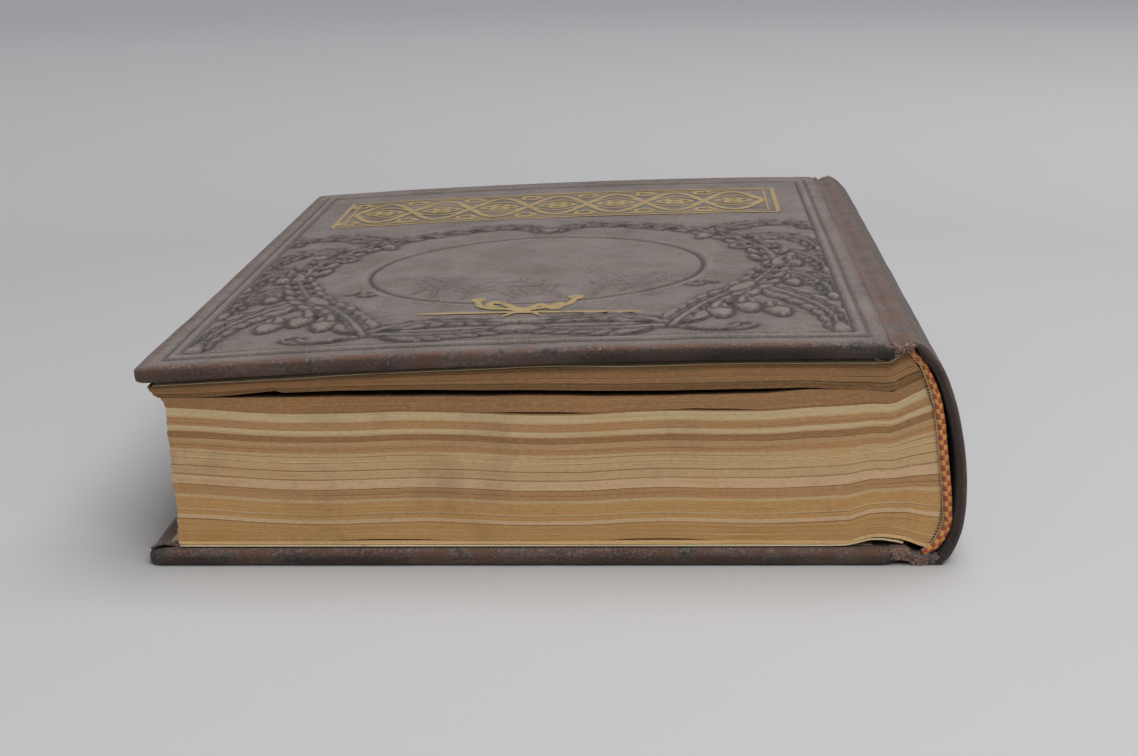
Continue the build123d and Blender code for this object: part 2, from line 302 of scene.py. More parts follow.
class Finish:
    """A procedural material: a Principled shader and short ways to wire what feeds it."""

    def __init__(self, name, roughness, **shader):
        self.material = bpy.data.materials.new(name)
        self.material.use_nodes = True
        self.tree = self.material.node_tree
        self.shader = self.tree.nodes["Principled BSDF"]
        self.set(self.shader, {"Roughness": roughness, **shader})

    def set(self, target, inputs):
        for key, value in inputs.items():
            if isinstance(value, bpy.types.NodeSocket):
                self.tree.links.new(value, target.inputs[key])
            else:
                target.inputs[key].default_value = value

    def node(self, kind, inputs, **settings):
        made = self.tree.nodes.new(kind)
        for key, value in settings.items():
            setattr(made, key, value)
        self.set(made, inputs)
        return made

    def place(self):
        """Position on the object, in metres."""
        return self.node("ShaderNodeTexCoord", {}).outputs["Object"]

    def surface(self):
        """Position on the surface, in millimetres."""
        return self.node("ShaderNodeUVMap", {}, uv_map="UVMap").outputs["UV"]

    def read(self, name):
        return self.node("ShaderNodeAttribute", {}, attribute_name=name).outputs["Fac"]

    def scaled(self, vector, scale):
        return self.node("ShaderNodeMapping", {"Vector": vector, "Scale": scale}).outputs["Vector"]

    def noise(self, vector, scale, detail=3.0, rough=0.55):
        inputs = {"Vector": vector, "Scale": scale, "Detail": detail, "Roughness": rough}
        return self.node("ShaderNodeTexNoise", inputs).outputs["Fac"]

    def math(self, operation, first, second=0.0):
        return self.node("ShaderNodeMath", {0: first, 1: second}, operation=operation).outputs[0]

    def times(self, first, second):
        return self.math("MULTIPLY", first, second)

    def band(self, value, low, high):
        """0 to 1 as `value` goes from `low` to `high`."""
        made = self.node("ShaderNodeMapRange", {"Value": value, "From Min": low, "From Max": high})
        return made.outputs["Result"]

    def mix(self, factor, first, second):
        """Colour that goes from `first` to `second`."""
        made = self.node("ShaderNodeMix", {0: factor}, data_type="RGBA", clamp_factor=True)
        self.set(made, {6: first, 7: second})
        return made.outputs[2]

    def stain(self, colour, *stains):
        """`colour` under stains laid in turn, each a mask, its strength and its tone."""
        for mask, strength, tone in stains:
            colour = self.mix(self.times(mask, strength), colour, tone)
        return colour

    def bands(self, factor, stops):
        """Flat bands of colour, each from its own position up."""
        made = self.node("ShaderNodeValToRGB", {"Fac": factor})
        made.color_ramp.interpolation = "CONSTANT"
        elements = made.color_ramp.elements
        while len(elements) < len(stops):
            elements.new(1.0)
        for element, (position, colour) in zip(elements, stops):
            element.position, element.color = position, colour
        return made.outputs["Color"]

    def bump(self, height, distance, strength=1.0, normal=None):
        inputs = {"Height": height, "Distance": distance, "Strength": strength}
        if normal:
            inputs["Normal"] = normal
        return self.node("ShaderNodeBump", inputs).outputs["Normal"]

    def finish(self, colour, normal=None, roughness=None):
        self.set(self.shader, {"Base Color": colour})
        if normal:
            self.set(self.shader, {"Normal": normal})
        if roughness:
            self.set(self.shader, {"Roughness": roughness})
        return self.material


def leather_finish(name, base, dark, worn):
    """Grained, thread-backed covering: painted shade in and round the tooling, lighter on raised tooling
    (rub and painted highlight), rubbed pale and reddish on edges.
    """
    f = Finish(name, 0.5, **{"Sheen Weight": 0.12, "Sheen Roughness": 0.4, "Specular IOR Level": 0.36})
    place, surface = f.place(), f.surface()
    broad = f.noise(place, 38.0, 4.0)
    patches = f.noise(place, 120.0, 5.0, 0.62)
    grain = f.noise(surface, 1.0, 4.0, 0.8)
    pores = f.noise(surface, 1.9, 2.0, 0.6)
    edge, painted_shade = f.read("edge"), f.read("painted_shade")
    blotch = f.math("ADD", f.times(edge, 0.65), 0.3)
    scuffs = f.band(f.noise(place, 650.0, 3.0, 0.7), 0.62, 0.7)
    colour = f.stain(
        f.mix(f.band(broad, 0.35, 0.7), base, dark),
        (edge, 0.5, srgb(88, 64, 50)),
        (f.band(patches, 0.54, 0.64), blotch, srgb(50, 53, 58)),
        (f.band(f.noise(place, 75.0, 4.0), 0.44, 0.62), blotch, worn),
        (f.band(grain, 0.5, 0.62), 0.62, srgb(160, 146, 137)),
        (f.band(pores, 0.5, 0.36), 0.8, srgb(36, 30, 28)),
        # Raised tooling lighter: partly rubbed wear, partly a painted highlight on its tops
        (f.times(f.read("raised"), f.band(grain, 0.2, 0.6)), 0.55, srgb(162, 147, 139)),
        (f.times(edge, f.band(patches, 0.55, 0.43)), 0.9, worn),
        (f.times(edge, scuffs), 0.4, srgb(136, 108, 90)),
        # Painted shade: in and round the tooling, down the boards' edges and in the spine's caps
        (painted_shade, 0.88, srgb(32, 21, 14)),
    )
    parts = f.node("ShaderNodeSeparateXYZ", {0: surface})
    warp = f.math("SINE", f.times(parts.outputs["X"], 2 * pi / WEAVE_PITCH))
    weft = f.math("SINE", f.times(parts.outputs["Y"], 2 * pi / WEAVE_PITCH))
    weave = f.times(warp, weft)
    colour = f.mix(f.band(weave, 0.2, -2.2), colour, srgb(30, 26, 24))
    normal = f.bump(weave, 0.00012, 0.6)
    normal = f.bump(grain, 0.0009, 0.9, normal)
    normal = f.bump(patches, 0.0011, 0.35, normal)
    roughness = f.band(f.math("ADD", patches, f.times(painted_shade, 0.3)), -1.0, 1.75)
    return f.finish(colour, normal, roughness)


# Paper tones along the stack, by height at the fore-edge: gatherings that browned differently, with thin
# painted-shade bands at some seams, and the bands from 41.9 up darkened as painted shade under the front
# board
CREAM, OCHRE, PINK = srgb(214, 178, 126), srgb(184, 143, 92), srgb(202, 170, 132)
PALE, TAN, BROWN = srgb(196, 174, 134), srgb(190, 160, 118), srgb(148, 110, 74)
RUST, OLIVE, SHADE = srgb(172, 132, 90), srgb(176, 144, 102), srgb(148, 108, 70)
BOARD_SHADE, CAP_SHADE = srgb(116, 85, 54), srgb(84, 60, 42)
STRATA = (
    (0.0, CREAM), (5.3, OCHRE), (6.9, CREAM), (7.2, OCHRE), (10.6, SHADE), (10.9, PINK), (11.8, OCHRE),
    (13.0, TAN), (13.4, OCHRE), (16.1, TAN), (16.8, RUST), (19.3, SHADE), (19.5, PINK), (21.7, SHADE),
    (21.9, TAN), (23.9, SHADE), (24.1, TAN), (26.0, CREAM), (26.3, TAN), (28.3, RUST), (29.8, OLIVE),
    (31.0, BROWN), (32.6, TAN), (33.0, PALE), (33.9, RUST), (35.9, TAN), (36.2, PALE), (38.0, BROWN),
    (41.9, BOARD_SHADE), (44.4, BROWN), (47.4, BOARD_SHADE), (49.5, CAP_SHADE),
)
STACK_TOP = 50.0


def page_finish():
    """Trimmed leaf edges: tones by gathering with painted shade at some seams and under the board, fine leaf
    lines, foxing and finger dirt.
    """
    f = Finish("page_edges", 0.85, **{"Specular IOR Level": 0.2})
    place, surface = f.place(), f.surface()
    parts = f.node("ShaderNodeSeparateXYZ", {0: surface})
    drift = f.noise(f.scaled(surface, (0.02, 0.25, 1.0)), 1.0, 2.0)
    height = f.math("ADD", parts.outputs["Y"], f.times(f.math("SUBTRACT", drift, 0.5), 0.14))
    stops = [(level / STACK_TOP, colour) for level, colour in STRATA]
    leaves = f.noise(f.scaled(surface, (0.012, 5.5, 1.0)), 1.0, 3.0, 0.7)
    fine = f.noise(f.scaled(surface, (0.05, 13.0, 1.0)), 1.0, 2.0, 0.6)
    mottle = f.noise(f.scaled(surface, (0.7, 2.4, 1.0)), 1.0, 3.0, 0.7)
    damp = f.band(f.noise(f.scaled(place, (1.0, 1.0, 2.6)), 42.0, 2.0), 0.56, 0.72)
    streak = f.band(f.noise(f.scaled(surface, (0.03, 1.2, 1.0)), 1.0, 2.0), 0.4, 0.7)
    colour = f.stain(
        f.bands(f.math("DIVIDE", height, STACK_TOP), stops),
        (f.band(leaves, 0.46, 0.3), 0.3, srgb(116, 80, 50)),
        (f.band(leaves, 0.54, 0.72), 0.26, srgb(212, 186, 144)),
        (f.band(fine, 0.42, 0.25), 0.3, srgb(96, 66, 40)),
        (f.band(mottle, 0.5, 0.34), 0.2, srgb(110, 78, 50)),
        (f.band(mottle, 0.52, 0.68), 0.16, srgb(216, 192, 152)),
        (f.times(damp, streak), 0.7, srgb(176, 126, 62)),
        (f.band(f.noise(place, 70.0, 5.0, 0.65), 0.52, 0.75), 0.3, srgb(112, 88, 70)),
        (f.band(f.noise(place, 900.0, 2.0, 0.5), 0.7, 0.78), 0.4, srgb(80, 55, 35)),
    )
    normal = f.bump(leaves, 0.0002, 0.5)
    normal = f.bump(fine, 0.00015, 0.5, normal)
    return f.finish(colour, normal)


def paper_finish(name, tone, edge_tone):
    """Aged endpaper with foxing and a faint laid surface."""
    f = Finish(name, 0.8, **{"Specular IOR Level": 0.25})
    place = f.place()
    colour = f.stain(
        f.mix(f.band(f.noise(place, 16.0, 4.0), 0.3, 0.75), tone, edge_tone),
        (f.band(f.noise(place, 120.0, 3.0, 0.5), 0.66, 0.76), 0.55, srgb(150, 98, 50)),
        (f.band(f.noise(place, 620.0, 2.0, 0.5), 0.68, 0.76), 0.4, srgb(120, 85, 50)),
    )
    fibres = f.noise(f.scaled(place, (1.0, 0.12, 1.0)), 2600.0, 3.0)
    return f.finish(colour, f.bump(fibres, 0.00008, 0.5))


def cloth_finish(name, tone, dark, pitch):
    """Open woven cloth."""
    f = Finish(name, 0.9, **{"Sheen Weight": 0.2, "Specular IOR Level": 0.2})
    place = f.place()
    parts = f.node("ShaderNodeSeparateXYZ", {0: place})
    warp = f.math("ABSOLUTE", f.math("SINE", f.times(parts.outputs["Y"], pi / pitch / MM)))
    weft = f.math("ABSOLUTE", f.math("SINE", f.times(parts.outputs["Z"], pi / pitch / MM)))
    threads = f.math("MAXIMUM", warp, weft)
    colour = f.mix(f.band(threads, 0.6, 1.0), dark, tone)
    colour = f.stain(colour, (f.noise(place, 300.0), 0.4, dark))
    return f.finish(colour, f.bump(threads, 0.0002, 0.8))


def board_finish():
    """Grey-brown pasteboard with pressed fibres."""
    f = Finish("pasteboard", 0.9, **{"Specular IOR Level": 0.2})
    place = f.place()
    fibres = f.noise(f.scaled(place, (1.0, 1.0, 6.0)), 700.0, 4.0, 0.7)
    colour = f.mix(f.band(fibres, 0.3, 0.7), srgb(104, 88, 70), srgb(146, 126, 102))
    return f.finish(colour, f.bump(fibres, 0.0002, 0.6))


HEADBAND_STITCH = 1.25  # width of a stitch
STRAND_PITCH = 0.28  # silk strands in a stitch


def headband_finish():
    """Two rows of wound stitches, yellow and brick red in turn."""
    f = Finish("headband_silk", 0.62, **{"Sheen Weight": 0.3, "Specular IOR Level": 0.35})
    surface = f.surface()
    parts = f.node("ShaderNodeSeparateXYZ", {0: surface})
    row = f.math("FLOOR", parts.outputs["Y"])
    wobble = f.times(f.math("SUBTRACT", f.noise(surface, 1.4, 2.0), 0.5), 0.5)
    place = f.math("ADD", f.math("DIVIDE", parts.outputs["X"], HEADBAND_STITCH), wobble)
    turn = f.math("MODULO", f.math("FLOOR", f.math("ADD", place, row)), 2.0)
    red = f.mix(f.noise(surface, 3.0), srgb(150, 62, 34), srgb(178, 84, 50))
    yellow = f.mix(f.noise(surface, 3.5), srgb(205, 140, 62), srgb(224, 168, 92))
    strands = f.math("ABSOLUTE", f.math("SINE", f.times(parts.outputs["X"], pi / STRAND_PITCH)))
    colour = f.stain(
        f.mix(turn, yellow, red),
        (f.band(strands, 0.35, 0.0), 0.55, srgb(96, 44, 24)),
        (f.band(f.noise(surface, 0.6, 3.0), 0.45, 0.75), 0.35, srgb(92, 58, 36)),
    )
    return f.finish(colour, f.bump(strands, 0.00012, 0.8))


def thread_finish(name, first, second):
    """Fine loose thread."""
    f = Finish(name, 0.8, **{"Sheen Weight": 0.2, "Specular IOR Level": 0.2})
    place = f.place()
    colour = f.mix(f.band(f.noise(place, 500.0, 2.0), 0.35, 0.65), first, second)
    return f.finish(colour, f.bump(f.noise(place, 9000.0, 2.0), 0.00005, 0.6))


def gilt_finish():
    """Tooled gold leaf, rubbed through to the covering in places."""
    f = Finish("gold_leaf", 0.58, **{"Metallic": 0.35})
    place = f.place()
    gold = f.mix(f.noise(place, 160.0, 3.0), srgb(142, 120, 80), srgb(170, 150, 108))
    wear = f.band(f.noise(place, 520.0, 5.0, 0.75), 0.56, 0.66)
    colour = f.stain(gold, (wear, 0.85, srgb(96, 84, 72)))
    return f.finish(colour, f.bump(f.noise(place, 2200.0, 3.0), 0.00015, 0.6))


TAUPE, UMBER, RUBBED = srgb(139, 127, 122), srgb(112, 102, 97), srgb(106, 72, 56)
cover_leather = leather_finish("cover_leather", TAUPE, UMBER, RUBBED)
# The spine's leather is a darker copy of the cover's: painted shade, as the spine faces away from the
# overhead light
spine_leather = leather_finish("spine_leather", srgb(80, 65, 56), srgb(58, 48, 42), RUBBED)
page_paper = page_finish()
endpaper = paper_finish("endpaper", srgb(200, 184, 152), srgb(176, 158, 126))
mull = cloth_finish("mull_cloth", srgb(178, 158, 122), srgb(92, 74, 52), 0.7)
pasteboard = board_finish()
headband_silk = headband_finish()
fray_thread = thread_finish("frayed_thread", srgb(104, 82, 74), srgb(178, 148, 134))
bead_thread = thread_finish("bead_thread", srgb(206, 178, 140), srgb(176, 128, 96))
gold_leaf = gilt_finish()

CARRIED_OVER = {
    "front_pastedown": endpaper,
    "back_pastedown": endpaper,
    "front_board": pasteboard,
    "back_board": pasteboard,
    "spine_inlay": pasteboard,
    "spine_lining": mull,
}
for node, material in CARRIED_OVER.items():
    for material_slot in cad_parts[node].material_slots:
        material_slot.material = material


# ---- embossed ornament

AXIS_RUN = 88.0  # the ornament is the same on both sides of this line
MEDALLION_UP = 96.0  # middle of the round panel, from the tail
MEDALLION_RADIUS = 46.0
BAND = (174.0, 226.0)  # gilt band, from the tail
BAND_HALF = 71.0  # half its width
RIB_WIDTH = 0.45  # vein pressed along a leaf
SHADE_REACH = 2.4  # faint painted shade round raised tooling


class Relief:
    """Height and creases of the tooling, on a lattice of `run` (fore-edge) and `up` (tail)."""

    def __init__(self, run, up):
        self.run, self.up = run, up
        self.aside = np.abs(run - AXIS_RUN)
        self.height = np.zeros((len(up), len(run)))
        self.crease = np.zeros_like(self.height)

    def near(self, across, low, high, pad):
        """The part of the lattice round a box, as an index and its two coordinates."""
        rows = np.nonzero((self.up > low[1] - pad) & (self.up < high[1] + pad))[0]
        columns = np.nonzero((across > low[0] - pad) & (across < high[0] + pad))[0]
        return np.ix_(rows, columns), across[columns][None, :], self.up[rows][:, None]

    def stroke(self, path, widths, height, rib=0.0, mirrored=True, outline=0.75, outline_shade=1.0):
        """Rounded ridge along `path`, pressed over what is already there."""
        path = np.asarray(path, float)
        across = self.aside if mirrored else self.run - AXIS_RUN
        where, a, b = self.near(across, path.min(0), path.max(0), max(widths) + 4)  # and its shade
        if where[0].size == 0 or where[1].size == 0:
            return
        share = np.full(np.broadcast_shapes(a.shape, b.shape), np.inf)
        apart = share.copy()
        middle = share.copy()
        for start, end, w0, w1 in zip(path, path[1:], widths, widths[1:]):
            step = end - start
            t = np.clip(((a - start[0]) * step[0] + (b - start[1]) * step[1]) / (step @ step + 1e-9), 0, 1)
            distance = np.hypot(a - start[0] - t * step[0], b - start[1] - t * step[1])
            width = w0 + (w1 - w0) * t
            nearer = distance / width < share
            share = np.where(nearer, distance / width, share)
            apart = np.minimum(apart, distance - width)
            middle = np.minimum(middle, distance)
        inside = share < 1
        ridge = height * np.sqrt(np.clip(1 - share**2, 0, 1)) - rib * height * bump(middle, 0, RIB_WIDTH)
        old = self.height[where]
        self.height[where] = np.where(inside, np.maximum(ridge + 0.25 * np.maximum(old, 0), 0.06), old)
        gap = np.maximum(apart, 0)
        # Painted shade: a dark outline hugging the ridge and a faint wider shade round it
        edge = (bump(gap, 0, outline) + 0.18 * bump(gap, 0, SHADE_REACH)) * outline_shade * (apart > -0.25)
        kept = np.where(inside, 0.25 * self.crease[where], self.crease[where])
        self.crease[where] = np.maximum(kept, np.where(inside, 0.6 * edge, edge))

    def leaf(self, foot, angle, length, width, curl=0.0, height=0.75, rib=0.4, **more):
        """One lobe: starts at `foot`, bends by `curl` degrees along its length."""
        count = 8
        turns = radians(angle) + radians(curl) * np.linspace(0, 1, count)
        steps = points_at(np.cos(turns), np.sin(turns)) * length / count
        path = np.vstack([[0, 0], np.cumsum(steps, axis=0)]) + np.asarray(foot)
        t = np.linspace(0, 1, count + 1)
        widths = 0.5 * width * (0.28 + 0.95 * np.sin(pi * np.clip(0.1 + 0.86 * t, 0, 1)) ** 0.8)
        self.stroke(path, np.maximum(widths, 0.3), height, rib, **more)

    def scroll(self, centre, radius, turns, start, width, height=0.5):
        """Spiral stem that ends in a small eye."""
        count = int(10 * abs(turns)) + 4
        t = np.linspace(0, 1, count)
        angle = radians(start) + 2 * pi * turns * t
        reach = radius * (1 - 0.78 * t)
        path = points_at(centre[0] + reach * np.cos(angle), centre[1] + reach * np.sin(angle))
        self.stroke(path, width * (1 - 0.4 * t), height)
        self.stroke([path[-1], path[-1] + 0.1], [width * 1.1] * 2, height * 1.3)

    def spray(self, stem, lobes, sizes, spread=48.0, slender=0.18, sides=(1, -1), droop=-35.0):
        """Acanthus stem with lobes along it that shrink towards its tip."""
        path = curve(stem, 6 * lobes + 1)  # six points for each lobe
        ahead = np.gradient(path, axis=0)
        heading = np.degrees(np.arctan2(ahead[:, 1], ahead[:, 0]))
        for index in range(lobes - 1, -1, -1):
            at = 6 * index + 3
            size = sizes[0] + (sizes[1] - sizes[0]) * index / max(lobes - 1, 1)
            for side in sides:
                for offset, scale in ((20, 0.6), (0, 1.0), (-18, 0.75)):
                    angle = heading[at] + side * (spread + offset)
                    self.leaf(path[at], angle, size * scale, size * slender * scale + 0.6, side * droop)
        self.stroke(path, np.linspace(1.0, 0.45, len(path)), 0.6, 0.2)
        self.leaf(path[-1], heading[-1], sizes[1] * 1.2, sizes[1] * 0.36 + 0.6)

    def drop(self, top, angle, length):
        """Hanging bud with a cup round its neck."""
        self.leaf(top, angle, length, length * 0.4, 0.0, 1.0, 0.0, outline=1.0)
        self.leaf(top, angle + 26, length * 0.5, length * 0.14, -30, 1.0, 0.0)
        self.leaf(top, angle - 26, length * 0.5, length * 0.14, 30, 1.0, 0.0)


def press_foliage(relief):
    """Acanthus plumes rising from the tail corners round the medallion, with hanging buds."""
    relief.spray([(64, 84), (72, 78), (77, 66), (78, 54)], 5, (9, 5))
    relief.spray([(64, 112), (73, 108), (78, 96), (79, 86)], 5, (9, 5))
    relief.spray([(56, 134), (68, 136), (76, 128), (79, 116)], 5, (10, 5))
    relief.spray([(48, 146), (60, 156), (72, 158), (79, 150)], 5, (10, 6))
    relief.spray([(66, 92), (64, 114), (56, 133), (44, 148), (28, 158)], 9, (12, 8), 46, 0.17)
    relief.spray([(28, 158), (18, 162), (8, 160), (2, 154)], 4, (8, 6))
    relief.spray([(60, 64), (67, 54), (73, 42), (76, 30), (77, 18)], 6, (14, 8), 42, 0.17, droop=-50)
    relief.spray([(44, 40), (51, 53), (58, 66), (62, 78), (66, 92)], 7, (14, 9), 46, 0.17, droop=-45)
    relief.spray([(37, 20), (41, 32), (46, 45), (53, 58)], 6, (14, 9), 38, 0.17, droop=-40)
    relief.spray([(36, 24), (28, 29), (18, 31), (7, 30)], 5, (11, 7), 40, 0.16, droop=-30)
    relief.spray([(35, 20), (26, 18.5), (15, 18.5), (5, 20)], 6, (12, 7), 36, 0.15, (-1, 1), -26)
    tendril = curve([(39, 19), (46, 15.5), (53, 16), (57, 19.5), (55, 23), (52, 21.5)], 24)
    relief.stroke(tendril, [0.6] * len(tendril), 0.5)
    relief.leaf((47, 15.5), 160, 8, 1.6, -40)
    relief.leaf((50, 16), 35, 6, 1.4, 40)
    relief.scroll((44, 70), 4.5, 1.1, 10, 0.8)
    relief.scroll((73, 70), 4.0, 1.0, 200, 0.7)
    relief.scroll((58, 120), 4.5, 1.1, 60, 0.8)
    for top, angle, length in (
        ((49, 42), -88, 13), ((55.5, 48), -84, 13), ((62, 43), -80, 13), ((68, 74), -80, 9),
        ((70, 100), -80, 9), ((62, 130), -60, 9), ((50, 142), -120, 9),
    ):
        relief.drop(top, angle, length)


def press_medallion(relief):
    """Round panel in a dark ring, with reeds growing faintly inside."""
    out = np.hypot(relief.run[None, :] - AXIS_RUN, relief.up[:, None] - MEDALLION_UP)
    inside = out < MEDALLION_RADIUS + 3
    relief.height[inside] = 0.12
    relief.crease[inside] = 0
    for foot, angle, length, curl in (
        ((-31, 67), 62, 20, 24), ((-25, 62), 95, 22, -20), ((-17, 58), 70, 17, 30), ((9, 56), 108, 26, 26),
        ((17, 59), 78, 24, -16), ((24, 62), 62, 22, 22), ((30, 68), 48, 14, 30), ((-4, 53), 85, 12, -30),
    ):
        style = dict(mirrored=False, outline=0.45, outline_shade=0.5)
        relief.leaf(foot, angle, length, 0.9, curl, 0.2, 0.0, **style)
        for part in (0.4, 0.65, 0.9):
            turn = radians(angle + curl * part / 2)
            knot = (foot[0] + cos(turn) * length * part, foot[1] + sin(turn) * length * part)
            for side in (38, -38):
                relief.leaf(knot, angle + curl * part + side, 6.5, 1.3, side * 0.6, 0.22, 0.0, **style)
    ring = bump(out, MEDALLION_RADIUS, 0.65)
    relief.height += 0.18 * bump(out, MEDALLION_RADIUS + 2.2, 0.7) - 0.22 * ring
    # Painted shade in the ring's groove
    relief.crease = np.maximum(relief.crease, 1.1 * ring)


def press_frame(relief):
    """Ruled border, plain margins and the flat bed of the gilt band."""
    run, up = relief.run[None, :], relief.up[:, None]
    edge = np.minimum(np.minimum(run, BOARD_WIDTH - run), np.minimum(up, 2 * HEAD_Y - up) / 1.45)
    margin = edge < 8.6
    relief.height[margin] = 0
    relief.crease[margin] = 0
    bed = (np.abs(run - AXIS_RUN) < BAND_HALF) & (up > BAND[0]) & (up < BAND[1])
    relief.height[bed] = 0.05
    relief.crease[bed] = 0
    for inset, width, depth in ((5.0, 0.5, 0.22), (8.0, 0.5, 0.26)):
        line = bump(edge, inset, width)
        relief.height -= depth * line
        # Painted shade along the ruled lines
        relief.crease = np.maximum(relief.crease, 0.9 * line)
    relief.height += 0.28 * bump(edge, 6.5, 0.9)


TOOLED = {}  # the front cover's lattice and tooled height, which the gilt follows


def cover_relief(run, up):
    """The front cover's tooling: height in millimetres, and how deep in a crease each point is, which also
    sets its painted shade.
    """
    relief = Relief(run, up)
    press_foliage(relief)
    press_medallion(relief)
    press_frame(relief)
    field = relief.height < 0.04
    stipple = noise(run[None, :], up[:, None], 0.9, 11) * 0.05
    relief.height = relief.height - 0.2 * np.clip(relief.crease, 0, 1) + np.where(field, stipple - 0.05, 0)
    TOOLED.update(run=run, up=up, height=relief.height)
    return relief.height, np.clip(relief.crease * 1.1, 0, 1.1)


# ---- the covers

EDGE = 1.0  # rounding of the covering over a board's edge
CORNER_ARC = CORNER - EDGE  # what is left of a corner's radius on the flat panel
CORNER_RUN = EDGE + CORNER_ARC  # centre of the corners, from the fore-edge
PANEL_HALF = HEAD_Y - EDGE  # half height of the flat panel
TINY = 1e-6  # slack for points that lie on the outline


def round_corners(u, v):
    """Pulls the panel's two fore-edge corners in to arcs."""
    for sign in (-1, 1):
        centre_v = sign * (PANEL_HALF - CORNER_ARC)
        outside = (u < CORNER_RUN) & (sign * (v - centre_v) > 0)
        reach = np.hypot(u - CORNER_RUN, v - centre_v)
        limit = np.maximum(np.abs(u - CORNER_RUN), np.abs(v - centre_v))
        scale = np.where(outside & (reach > 0), limit / np.maximum(reach, 1e-9), 1.0)
        u, v = CORNER_RUN + (u - CORNER_RUN) * scale, centre_v + (v - centre_v) * scale
    return u, v


def panel_outline(rows, columns):
    """Lattice points round the tail, fore-edge and head, as row and column indices."""
    loop = [(0, c) for c in range(columns - 1, 0, -1)] + [(r, 0) for r in range(rows)]
    loop += [(rows - 1, c) for c in range(1, columns)]
    return np.array(loop).T


def outward(u, v):
    """Unit direction out of the panel at points of its outline."""
    at_end = np.abs(v) > PANEL_HALF - TINY
    out_u = np.where(u < CORNER_RUN, u - CORNER_RUN, 0.0)
    out_v = np.where(at_end, CORNER_ARC, np.maximum(np.abs(v) - (PANEL_HALF - CORNER_ARC), 0.0))
    out_v = np.sign(v) * out_v
    size = np.hypot(out_u, out_v)
    return out_u / size, out_v / size


def edge_steps(bottom_round):
    """Section of a board's edge from face to inside, as pairs of outward reach and depth."""
    steps = [(EDGE * sin(t), EDGE * (1 - cos(t))) for t in np.linspace(0.35, pi / 2, 5)]
    steps += [(EDGE, 1.6), (EDGE, 2.3)]
    for t in np.linspace(0.1, pi / 2, 5):
        steps.append((EDGE - bottom_round * (1 - cos(t)), COVER_DEPTH - bottom_round * (1 - sin(t))))
    return steps


def unevenness(u, v):
    """Height of a panel's shallow waves, which dips at the ends of the joint."""
    waves = 0.07 * noise(u, v, 17, 5) + 0.03 * noise(u, v, 5, 6)
    near_joint = ease(u, BOARD_WIDTH - 3.0, BOARD_WIDTH)
    return waves - 0.55 * near_joint * (1 - ease(HEAD_Y - np.abs(v), 3, 12))


def cover_rim(place, u, v, uneven, steps, belly):
    """Rings of covering from the panel's outline down the board's edge and under it."""
    out_u, out_v = outward(u, v)
    rings = [place(u, v, -uneven)]
    swell = 0.13 * noise(u, v, 6, 8) + 0.06 * noise(u, v, 2, 9)
    bulge = 0.9 * (1 - ease(v, 10 - HEAD_Y, 90 - HEAD_Y)) * (place is front_place)
    for out, depth in steps:
        push = out + swell * ease(depth, 0.0, 1.2) + belly * sin(pi * depth / COVER_DEPTH)
        beyond = push + bulge * ease(depth, 0.0, 0.9)
        level = depth - uneven * (1 - depth / COVER_DEPTH)
        rings.append(place(u + out_u * beyond, v + out_v * push, level))
    for inset, depth in ((4.0, COVER_DEPTH), (TURN_IN - 0.3, COVER_DEPTH), (TURN_IN, COVER_DEPTH - 0.25)):
        wave = 0.5 * noise(u, v, 9, 12) * (inset > 10)
        in_u = np.clip(u, inset + wave, BOARD_WIDTH)
        in_v = np.clip(v, -(HEAD_Y - inset - wave), HEAD_Y - inset - wave)
        rings.append(place(in_u, in_v, depth))
    return np.array(rings)


def rim_shade(rim, outer, shade_amount, front):
    """Painted shade on the rim: darker towards the floor side and, in front, darker towards the spine."""
    ring = np.arange(len(rim))
    last = outer.sum() - 1  # the last ring on the board's edge
    lower = ease(ring, 1, 8) if front else ease(last - ring, 0, 6)
    patchy = 1 + 0.5 * noise(rim[..., 0], rim[..., 1], 14, 10)
    # Painted shade down the board's edge, with a little on the turn-ins
    rim_shading = np.where(outer, shade_amount * lower, 0.15)[:, None] * patchy
    return rim_shading * (0.5 + 0.75 * ease(rim[..., 0], -60, 60)) if front else rim_shading


